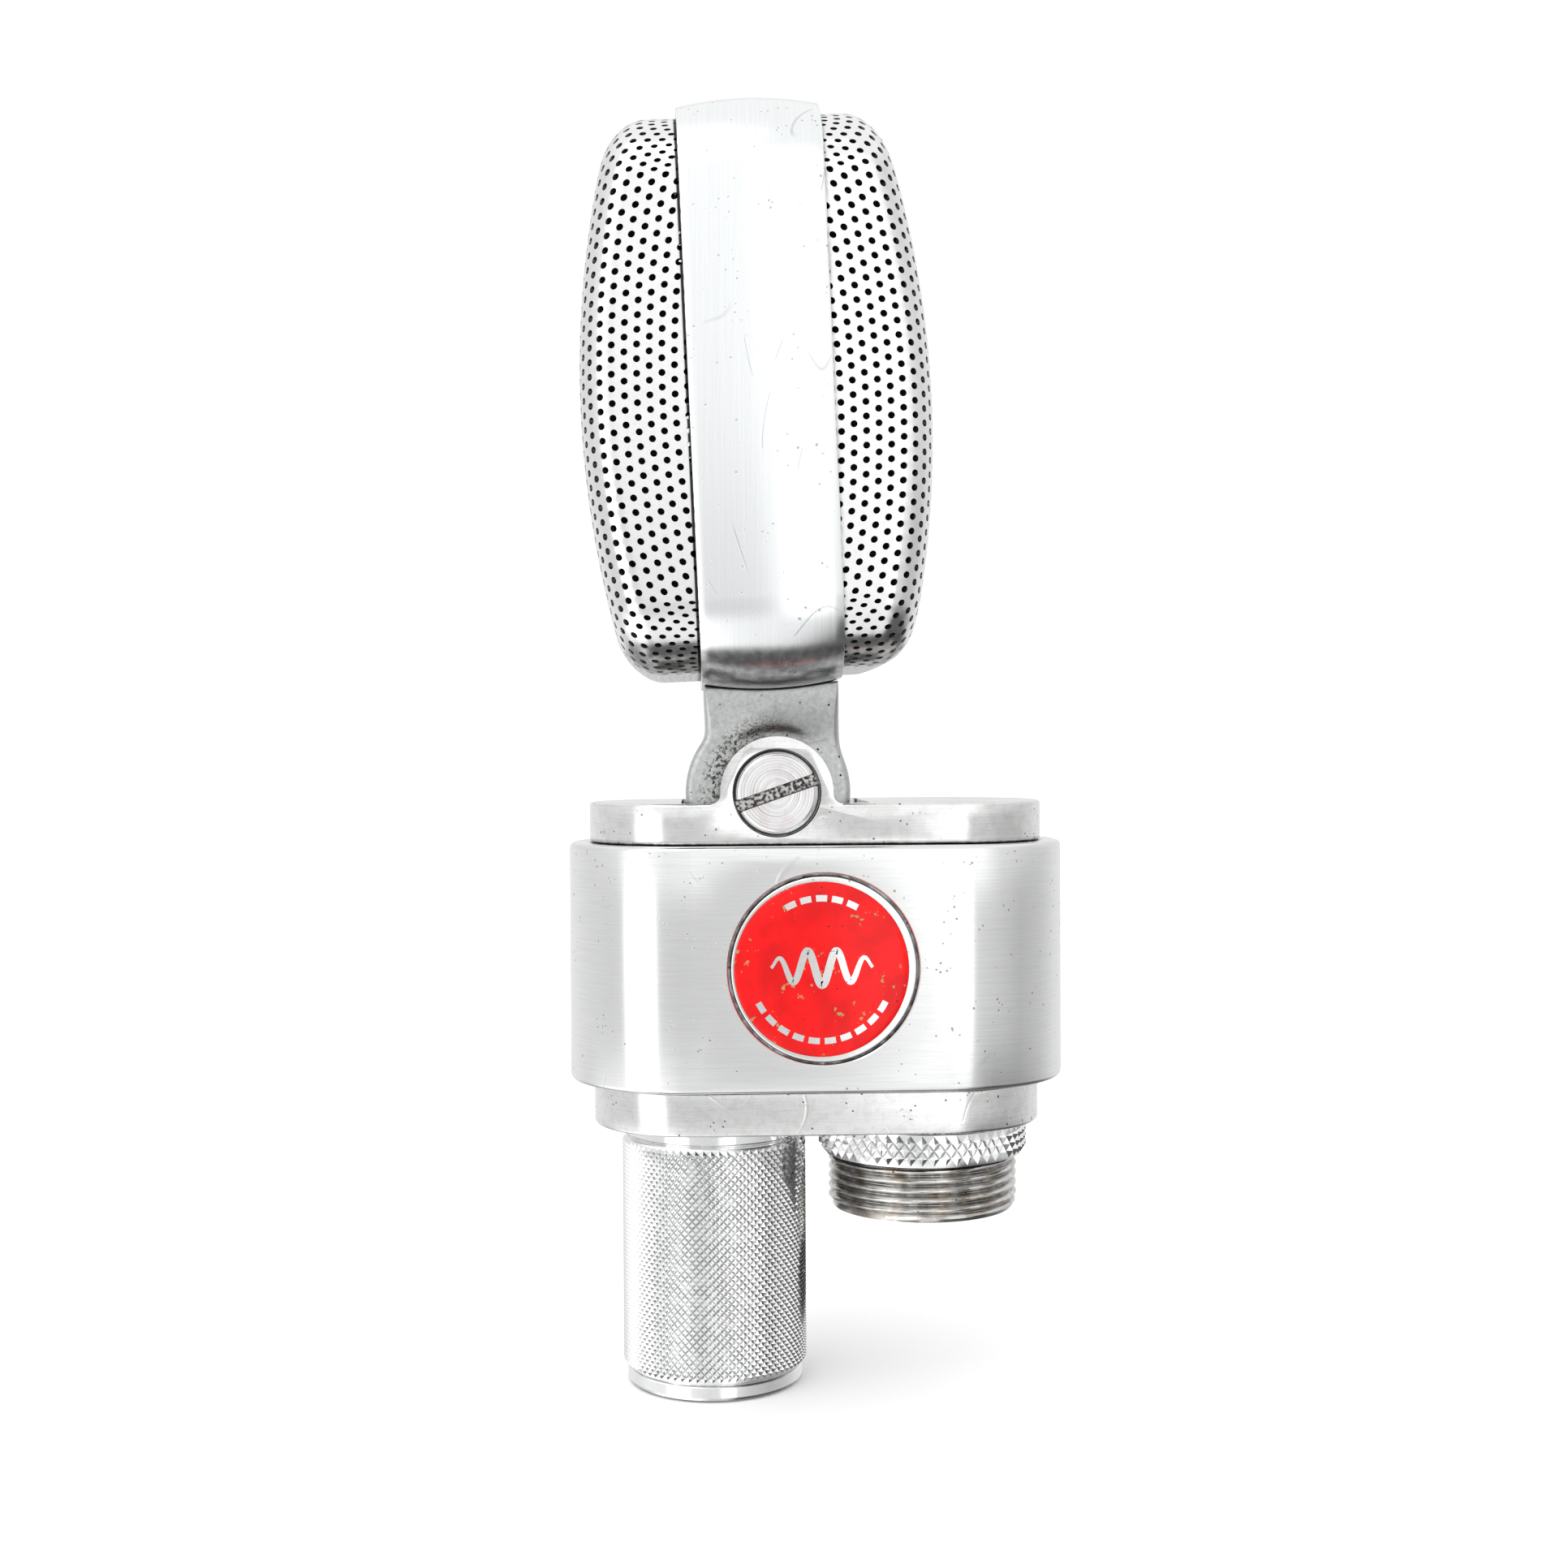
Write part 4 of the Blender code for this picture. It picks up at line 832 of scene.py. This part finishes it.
def make_pivot_screw(finish):
    half = extent("pivot_screw")[1]
    front = screw_front() / MM
    radius = SCREW_RADIUS
    shank = SHANK_RADIUS
    length = 2 * half.y
    under = SCREW_UNDER
    rim = radius - 0.75
    profile = [(shank - 0.3, -length), (shank, -length + 0.3), (shank, under), (radius - 0.15, under),
               (radius, under + 0.15), (radius, -0.60), (radius - 0.10, -0.45), (rim + 0.1, -0.04),
               (rim, 0.0)]
    profile += [(rim * share, -0.10 * (1 - share)) for share in (0.97, 0.9, 0.75, 0.5, 0.25, 0.02)]
    place = facing((0, -1, 0), PIVOT.x, front + 0.01, PIVOT.z)
    screw = to_object("pivot_screw_body", turned(profile, 96), "pivot_screw", ["pivot_screw"],
                      place)
    width, deep = SCREW_SLOT
    outline = ((-9, -width), (9, -width), (9, width), (-9, width))
    slot = loft([[(x, y, z) for x, y in outline] for z in (-deep, 3)])
    turn = Matrix.Rotation(math.radians(-SLOT_TURN), 4, "Y") @ facing((0, -1, 0), 0, 0, 0)
    combine(screw, [tool(slot, Matrix.Translation((PIVOT.x, front, PIVOT.z)) @ turn)])
    soften(screw, 0.05, 1, 30)
    dress(screw, finish)


# ---------------- knurls and threads
def knurl(bm, radius, depth, z0, z1, around, rows):
    """Diamond knurl between two plain rings; returns the lower and upper ring's vertices.

    Each diamond slopes up to a small flat."""
    step = 2 * math.pi / around
    half = (z1 - z0) / (2 * rows)

    def spot(i, j, r):
        angle = step * i
        return (r * math.cos(angle), r * math.sin(angle), z0 + half * j)

    grid = {}
    for j in range(2 * rows + 1):
        for i in range(around):
            grid[(i, j)] = bm.verts.new(spot(i + 0.5 * (j % 2), j, radius - depth))
    for j in range(2 * rows + 1):
        odd = j % 2
        for i in range(around):
            left, right = grid[(i, j)], grid[((i + 1) % around, j)]
            index = (i + odd) % around
            above, below = grid.get((index, j + 1)), grid.get((index, j - 1))
            if above is None or below is None:
                bm.faces.new((left, right, above or below))
                continue
            middle = i + 0.5 * odd + 0.5
            corners = (left, below, right, above)
            around_it = ((-0.5, 0), (0, -1), (0.5, 0), (0, 1))
            inner = [bm.verts.new(spot(middle + du * KNURL_FLAT, j + dv * KNURL_FLAT, radius))
                     for du, dv in around_it]
            for k in range(4):
                n = (k + 1) % 4
                bm.faces.new((corners[k], corners[n], inner[n], inner[k]))
            bm.faces.new(inner)
    first = [grid[(i, 0)] for i in range(around)]
    last = [grid[(i, 2 * rows)] for i in range(around)]
    return first, last


def add_ring(bm, radius, z, count):
    angles = [2 * math.pi * i / count for i in range(count)]
    return [bm.verts.new((radius * math.cos(a), radius * math.sin(a), z)) for a in angles]


def knurled_piece(name, profiles, belt, around, rows, node, at):
    """A turned ring with a knurled belt of (radius, depth, bottom, top).

    Both profiles run from the bore to the belt's edge."""
    bm = bmesh.new()
    edges = knurl(bm, *belt, around, rows)
    sides = []
    for profile, edge in zip(profiles, edges):
        sides.append([add_ring(bm, r, z, around) for r, z in profile] + [edge])
    for rings in sides:
        for a, b in zip(rings, rings[1:]):
            join_rings(bm, a, b)
    join_rings(bm, sides[0][0], sides[1][0])
    return to_object(name, bm, node, [node], Matrix.Translation(at), smooth=24)


def make_sleeve(finish):
    centre, half = extent("stand_sleeve")
    radius = half.x
    end = radius - 0.6
    neck = end + 0.1
    top = centre.z + half.z
    bore, web = SLEEVE_BORE, SLEEVE_WEB
    low = [(bore, SLEEVE_BORE_TOP), (bore, 0.5), (bore + 0.5, 0.0), (end - 0.5, 0.0), (end - 0.15, 0.12),
           (end, 0.45), (end, 1.75), (end - 0.3, 1.95), (end - 0.3, 2.1), (radius - 0.35, 2.35)]
    high = [(web, SLEEVE_BORE_TOP), (web, top), (neck - 0.2, top), (neck, top - 0.2), (neck, 33.3),
            (neck - 0.2, 33.1), (neck - 0.2, 32.95), (radius - 0.3, 32.7)]
    dress(knurled_piece("stand_sleeve_knurled", (low, high), (radius, *SLEEVE_KNURL), *SLEEVE_DIAMONDS,
                        "stand_sleeve", (0, 0, 0)), finish)


def make_lock_ring(finish):
    centre, half = extent("lock_ring")
    radius = half.x
    z0, z1 = centre.z - half.z, centre.z + half.z
    low = [(RING_BORE, z0), (radius - 0.85, z0), (radius - 0.6, z0 + 0.05)]
    high = [(RING_BORE, z1), (radius - 0.6, z1)]
    belt = (radius, RING_KNURL_DEPTH, z0 + 0.25, z1 - 0.1)
    dress(knurled_piece("lock_ring_knurled", (low, high), belt, *RING_DIAMONDS, "lock_ring",
                        (CONNECTOR_X, 0, 0)), finish)


def thread_radius(radius, climb, turn):
    """Distance of the thread's surface from its axis, at a height above its start and a share of a turn."""
    phase = (climb / THREAD_PITCH - turn) % 1.0
    groove = abs(2 * phase - 1)
    shape = min(max((groove - THREAD_CREST) / THREAD_FLANK, 0.0), 1.0)
    start = min(max((climb - THREAD_START) / THREAD_FADE, 0.0), 1.0)
    return radius - 0.05 - THREAD_DEPTH * shape - 0.35 * (1 - start)


def make_connector(finish):
    """The threaded stub: a single-start helical thread that fades in at its lower end."""
    centre, half = extent("connector_shell")
    radius = half.x
    z0 = centre.z - half.z
    bore, bore_top = SHELL_BORE
    neck, throat, neck_top = SHELL_NECK
    bm = bmesh.new()
    rows = [add_ring(bm, r, z, THREAD_SIDES)
            for r, z in ((bore, bore_top), (bore, z0 + 0.3), (bore + 0.3, z0), (radius - 0.6, z0))]
    level = z0 + THREAD_START
    while level < THREAD_TOP:
        ring = []
        for i in range(THREAD_SIDES):
            turn = i / THREAD_SIDES
            r = thread_radius(radius, level - z0, turn)
            angle = 2 * math.pi * turn
            ring.append(bm.verts.new((r * math.cos(angle), r * math.sin(angle), level)))
        rows.append(ring)
        level += THREAD_PITCH / 12
    rows += [add_ring(bm, r, z, THREAD_SIDES)
             for r, z in ((radius - 0.45, THREAD_TOP + 0.2), (radius - 0.3, SHELL_SHOULDER),
                          (neck, SHELL_SHOULDER), (neck, neck_top), (throat, neck_top), (throat, bore_top))]
    for a, b in zip(rows, rows[1:]):
        join_rings(bm, a, b)
    join_rings(bm, rows[-1], rows[0])
    piece = to_object("connector_threaded", bm, "base", ["connector_shell"],
                      Matrix.Translation((CONNECTOR_X, 0, 0)), smooth=30)
    dress(piece, finish)


# ---------------- head
def make_band(finish):
    half_y, half_z = (half - BAND_SHY for half in HEAD_HALF)
    wall = BAND_WALL
    width = BAND_HALF
    section = []
    count = 16
    for k in range(count + 1):
        across = (-1 + 2 * k / count) * (width - 0.16)
        section.append((across, BAND_CROWN * (across / width) ** 2))
    lip = BAND_CROWN
    edge = [(width - 0.05, lip + 0.03), (width, lip + 0.15), (width, wall + 0.35), (width - 0.15, wall + 0.5),
            (width - 1.2, wall)]
    section += edge + [(-across, inset) for across, inset in reversed(edge)]
    rings = []
    for across, inset in section:
        outline = rounded_rect(half_y - inset, half_z - inset, HEAD_CORNER - inset, 24)
        rings.append([(across, y, z + HEAD_CENTRE) for y, z in outline])
    band = to_object("band_strip", loft(rings, closed=True), "head", ["head_band"], HEAD)
    dress(band, finish)


def section_tables():
    """Arc length, lateral run and drop along the grille's section, from its core outwards."""
    span, rise = GRILLE_FILLET
    corner = HEAD_CORNER - GRILLE_INSET
    flat = corner - span
    angles = [math.pi / 2 * k / 40 for k in range(41)]
    lateral = np.array([0.0] + [flat + span * math.sin(a) for a in angles] + [corner])
    drop = np.array([0.0] + [rise * (1 - math.cos(a)) for a in angles] + [rise + 30.0])
    length = np.concatenate([[0.0], np.cumsum(np.hypot(np.diff(lateral), np.diff(drop)))])
    return length, lateral, drop


def draw_over_form(points, side):
    """Depth, y and z of flat sheet points drawn over the form, so that holes stretch with the sheet."""
    length, lateral, drop = section_tables()
    core = np.array([HEAD_HALF[0] - HEAD_CORNER, HEAD_HALF[1] - HEAD_CORNER])
    nearest = np.clip(points, -core, core)
    away = points - nearest
    distance = np.linalg.norm(away, axis=1)
    direction = away / np.maximum(distance, 1e-9)[:, None]
    flat = nearest + direction * np.interp(distance, length, lateral)[:, None]
    arch = GRILLE_ARCH * (flat[:, 1] - GRILLE_FULLEST) ** 2
    bow = GRILLE_BOW * (flat[:, 0] / (HEAD_HALF[0] - GRILLE_INSET)) ** 2
    depth = GRILLE_FACE[side] - arch - bow - np.interp(distance, length, drop)
    return np.column_stack([depth, flat])


def perforated_sheet(side):
    """Flat points and faces: a hexagonal cell with a round hole for each point of the lattice."""
    pitch = HOLE_PITCH
    column = pitch * math.sqrt(3) / 2
    corner_radius = pitch / math.sqrt(3)
    columns = int((HEAD_HALF[0] + GRILLE_FACE[side]) / column)
    rows = int((HEAD_HALF[1] + GRILLE_FACE[side]) / pitch)
    cells = [(i * column, (j + 0.5 * (i % 2)) * pitch)
             for i in range(-columns, columns + 1) for j in range(-rows, rows + 1)]
    ring = HOLE_SIDES
    index = {}
    points = []
    faces = []

    def vertex(y, z):
        key = (round(y * 500), round(z * 500))
        if key not in index:
            index[key] = len(points)
            points.append((y, z))
        return index[key]

    for (y, z), depth in zip(cells, draw_over_form(np.array(cells), side)[:, 0]):
        if depth < GRILLE_FOOT - 0.6:
            continue
        outer = []
        inner = []
        for k in range(ring):
            angle = math.pi / 6 * k
            radius = corner_radius if k % 2 == 0 else corner_radius * math.cos(math.pi / 6)
            outer.append(vertex(y + radius * math.cos(angle), z + radius * math.sin(angle)))
            inner.append(vertex(y + HOLE_RADIUS * math.cos(angle), z + HOLE_RADIUS * math.sin(angle)))
        for k in range(ring):
            n = (k + 1) % ring
            faces.append((outer[k], outer[n], inner[n], inner[k]))
        if depth < GRILLE_FOOT + 0.8:
            faces.append(tuple(inner))
    return points, faces


def make_grille(name, side, node, finish):
    """The perforated sheet, drawn over the form and given its thickness."""
    points, faces = perforated_sheet(side)
    placed = draw_over_form(np.array(points), side)
    placed[:, 0] = side * np.maximum(placed[:, 0], GRILLE_FOOT)
    placed[:, 2] += HEAD_CENTRE
    bm = bmesh.new()
    verts = [bm.verts.new(p) for p in placed]
    for face in faces:
        corners = [verts[k] for k in (face if side > 0 else reversed(face))]
        bm.faces.new(corners)
    bmesh.ops.remove_doubles(bm, verts=bm.verts, dist=1e-4)
    bmesh.ops.dissolve_degenerate(bm, edges=bm.edges, dist=1e-4)
    bmesh.ops.transform(bm, matrix=HEAD, verts=bm.verts)
    bmesh.ops.scale(bm, vec=(MM, MM, MM), verts=bm.verts)
    bm.normal_update()
    piece = link_mesh(name, bm)
    wall = piece.modifiers.new("sheet", "SOLIDIFY")
    wall.thickness = SHEET * MM
    wall.offset = -1.0
    apply_modifiers(piece)
    shade(piece, 50)
    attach(piece, "head")
    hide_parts(node)
    dress(piece, finish)


def smooth_step(value, low, high):
    share = min(max((value - low) / (high - low), 0.0), 1.0)
    return share * share * (3 - 2 * share)


def knuckle_reach(angle, neck_top):
    """Distance from the pivot to the knuckle's outline, at an angle from straight up."""
    sine, cosine = math.sin(angle), math.cos(angle)
    foot = DISC_SHIFT * sine + math.sqrt(DISC_RADIUS ** 2 - (DISC_SHIFT * cosine) ** 2)
    if cosine <= 0:
        return foot
    side = NECK_HALF[0] / max(abs(sine), 1e-6)
    across = min(neck_top * abs(sine) / cosine, NECK_HALF[0])
    top = (neck_top + BAND_CROWN * (across / BAND_HALF) ** 2) / cosine
    neck = min(side, top)
    if abs(sine) <= 0.7:
        return max(foot, neck)
    return (foot ** KNUCKLE_BLEND + neck ** KNUCKLE_BLEND) ** (1 / KNUCKLE_BLEND)


def knuckle_half(x, z):
    """Half thickness of the knuckle: thin between the ears, thick above them."""
    above = smooth_step(z, *NECK_RISE)
    outside = smooth_step(math.hypot(x, z), *NECK_RELIEF)
    return DISC_HALF + (NECK_HALF[1] - DISC_HALF) * above * outside


def make_knuckle(finish):
    """A casting whose thin round foot flows into a thick neck, cupped to fit the band."""
    neck_top = HEAD_CENTRE - HEAD_HALF[1] - 0.06
    bore = PIVOT_BORE
    corner = math.atan2(NECK_HALF[0], neck_top + BAND_CROWN * (NECK_HALF[0] / BAND_HALF) ** 2)
    angles = sorted([2 * math.pi * k / 240 for k in range(240)] + [corner, 2 * math.pi - corner])
    shares = [(share / 24, 0.0) for share in range(25)] + [(1.0, k / 6) for k in range(1, 7)]
    loops = []
    for share, turn in shares:
        loop = []
        for angle in angles:
            from_top = abs(math.atan2(math.sin(angle), math.cos(angle)))
            width = KNUCKLE_EDGE * (0.25 + 0.75 * smooth_step(from_top, 0.45, 0.75))
            inset = width * (1 - math.sin(math.pi / 2 * turn))
            sink = width * (1 - math.cos(math.pi / 2 * turn))
            radius = bore + (knuckle_reach(angle, neck_top) - inset - bore) * share
            x, z = radius * math.sin(angle), radius * math.cos(angle)
            loop.append((x, knuckle_half(x, z) - sink, z))
        loops.append(loop)
    front = [[(x, -y, z) for x, y, z in loop] for loop in loops]
    casting = loft(front + loops[::-1], closed=True)
    dress(to_object("knuckle_casting", casting, "head", ["knuckle"], HEAD, smooth=50), finish)


# ---------------- stage
def make_camera():
    data = bpy.data.cameras.new("camera")
    data.lens = CAMERA_LENS
    data.sensor_width = 36.0
    data.clip_start = 0.01
    camera = bpy.data.objects.new("camera", data)
    bpy.context.scene.collection.objects.link(camera)
    camera.location = Vector(CAMERA_PLACE) * MM
    yaw, pitch, roll = (math.radians(v) for v in CAMERA_TURN)
    look = Matrix.Rotation(yaw, 4, "Z") @ Matrix.Rotation(math.pi / 2 + pitch, 4, "X")
    camera.rotation_euler = (look @ Matrix.Rotation(roll, 4, "Z")).to_euler()
    bpy.context.scene.camera = camera


def make_light(name, at, aim, size, power):
    data = bpy.data.lights.new(name, "AREA")
    data.shape = "RECTANGLE"
    data.size, data.size_y = size
    data.energy = power
    lamp = bpy.data.objects.new(name, data)
    bpy.context.scene.collection.objects.link(lamp)
    lamp.location = at
    lamp.rotation_euler = (Vector(aim) - Vector(at)).to_track_quat("-Z", "Y").to_euler()


def make_stage():
    floor_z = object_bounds()[0][2] - FLOOR_GAP
    bm = bmesh.new()
    left, right, front, back = FLOOR_SIDES
    corners = ((left, front, 0), (right, front, 0), (right, back, 0), (left, back, 0))
    bm.faces.new([bm.verts.new(point) for point in corners])
    floor = link_mesh("floor", bm)
    floor.location = (0, 0, floor_z)
    floor.visible_glossy = False
    f = Finish("pale_floor", metallic=0.0, specular=0.2)
    speck = f.noise(30.0, 2.0)
    dress(floor, f.done(f.mix(speck, (0.95, 0.95, 0.95), (0.97, 0.97, 0.97)), 0.8))
    make_world()
    make_light("key", KEY_PLACE, KEY_AIM, KEY_SIZE, KEY_POWER)
    bpy.context.scene.view_settings.view_transform = "Standard"


def make_world():
    """Studio surround whose brightness is set by direction.

    Tall soft boxes stand round the front, above a ground that is bright on the left and dark on the
    right. A lamp patch sits a little right of straight ahead. Diffuse light sees an even fill."""
    world = bpy.data.worlds.new("studio")
    world.use_nodes = True
    bpy.context.scene.world = world
    tree = world.node_tree
    background = tree.nodes["Background"]
    f = Shading(tree)

    def around(stops):
        ramp = f.add("ShaderNodeValToRGB", _0=azimuth)
        elements = ramp.color_ramp.elements
        while len(elements) > 1:
            elements.remove(elements[-1])
        for number, (degrees, level) in enumerate(stops):
            spot = elements[0] if number == 0 else elements.new(degrees / 360 + 0.5)
            spot.position = degrees / 360 + 0.5
            spot.color = (level / 2, level / 2, level / 2, 1.0)
        return f.times(ramp.outputs["Color"], 2.0)

    direction = f.add("ShaderNodeTexCoord").outputs["Generated"]
    x, y, z = f.add("ShaderNodeSeparateXYZ", _0=direction).outputs
    azimuth = f.math("ARCTAN2", x, f.times(y, -1.0))
    azimuth = f.plus(f.times(azimuth, 1 / (2 * math.pi)), 0.5)
    level = f.blend(f.ramp(z, *HORIZON_BAND), around(LOW_SURROUND), around(HIGH_SURROUND))
    level = f.blend(f.ramp(z, *GROUND_BAND), around(GROUND), level)
    level = f.blend(f.ramp(z, *NADIR_BAND), NADIR_LEVEL, level)
    level = f.blend(f.ramp(z, *ZENITH_BAND), level, ZENITH_LEVEL)
    left, left_on, right, right_on = (0.5 + degrees / 360 for degrees in LAMP_AZIMUTH)
    low, low_on, high, high_on = LAMP_HEIGHT
    lamp = f.times(f.ramp(azimuth, left, left_on), f.ramp(azimuth, right, right_on))
    lamp = f.times(lamp, f.times(f.ramp(z, low, low_on), f.ramp(z, high, high_on)))
    level = f.blend(lamp, level, LAMP_LEVEL)
    path = f.add("ShaderNodeLightPath").outputs
    level = f.blend(path["Is Diffuse Ray"], level, FILL_LEVEL)
    tree.links.new(f.blend(path["Is Camera Ray"], level, BACKDROP_LEVEL), background.inputs["Strength"])
    background.inputs["Color"].default_value = (1.0, 1.0, 1.0, 1.0)


SLOT_FINISH = {"satin_chrome": "block", "cast_grey": "iron", "bright_steel": "steel", "worn_brass": "brass",
               "red_enamel": "enamel", "black_cloth": "cloth", "magnet_alloy": "magnet", "soft_iron": "iron",
               "ribbon_foil": "foil", "paxolin": "paxolin", "copper_wire": "copper",
               "black_plastic": "plastic", "fibre": "fibre"}


def main():
    make_camera()
    make_stage()
    finishes = make_finishes()
    for part in frame["record"]["subparts"]:
        dress(frame["nodes"][part["node"]], finishes[SLOT_FINISH[part["material_slot"]]])
    make_block(finishes["block"])
    make_top_plate(finishes["plate"])
    make_bottom_plate(finishes["plate"])
    make_ornament(finishes, make_badge(finishes))
    make_pivot_screw(finishes["screw"])
    make_sleeve(finishes["knurl"])
    make_lock_ring(finishes["knurl"])
    make_connector(finishes["thread"])
    make_band(finishes["band"])
    make_grille("left_grille_sheet", -1, "left_grille", finishes["left_grille"])
    make_grille("right_grille_sheet", 1, "right_grille", finishes["grille"])
    make_knuckle(finishes["knuckle"])


main()
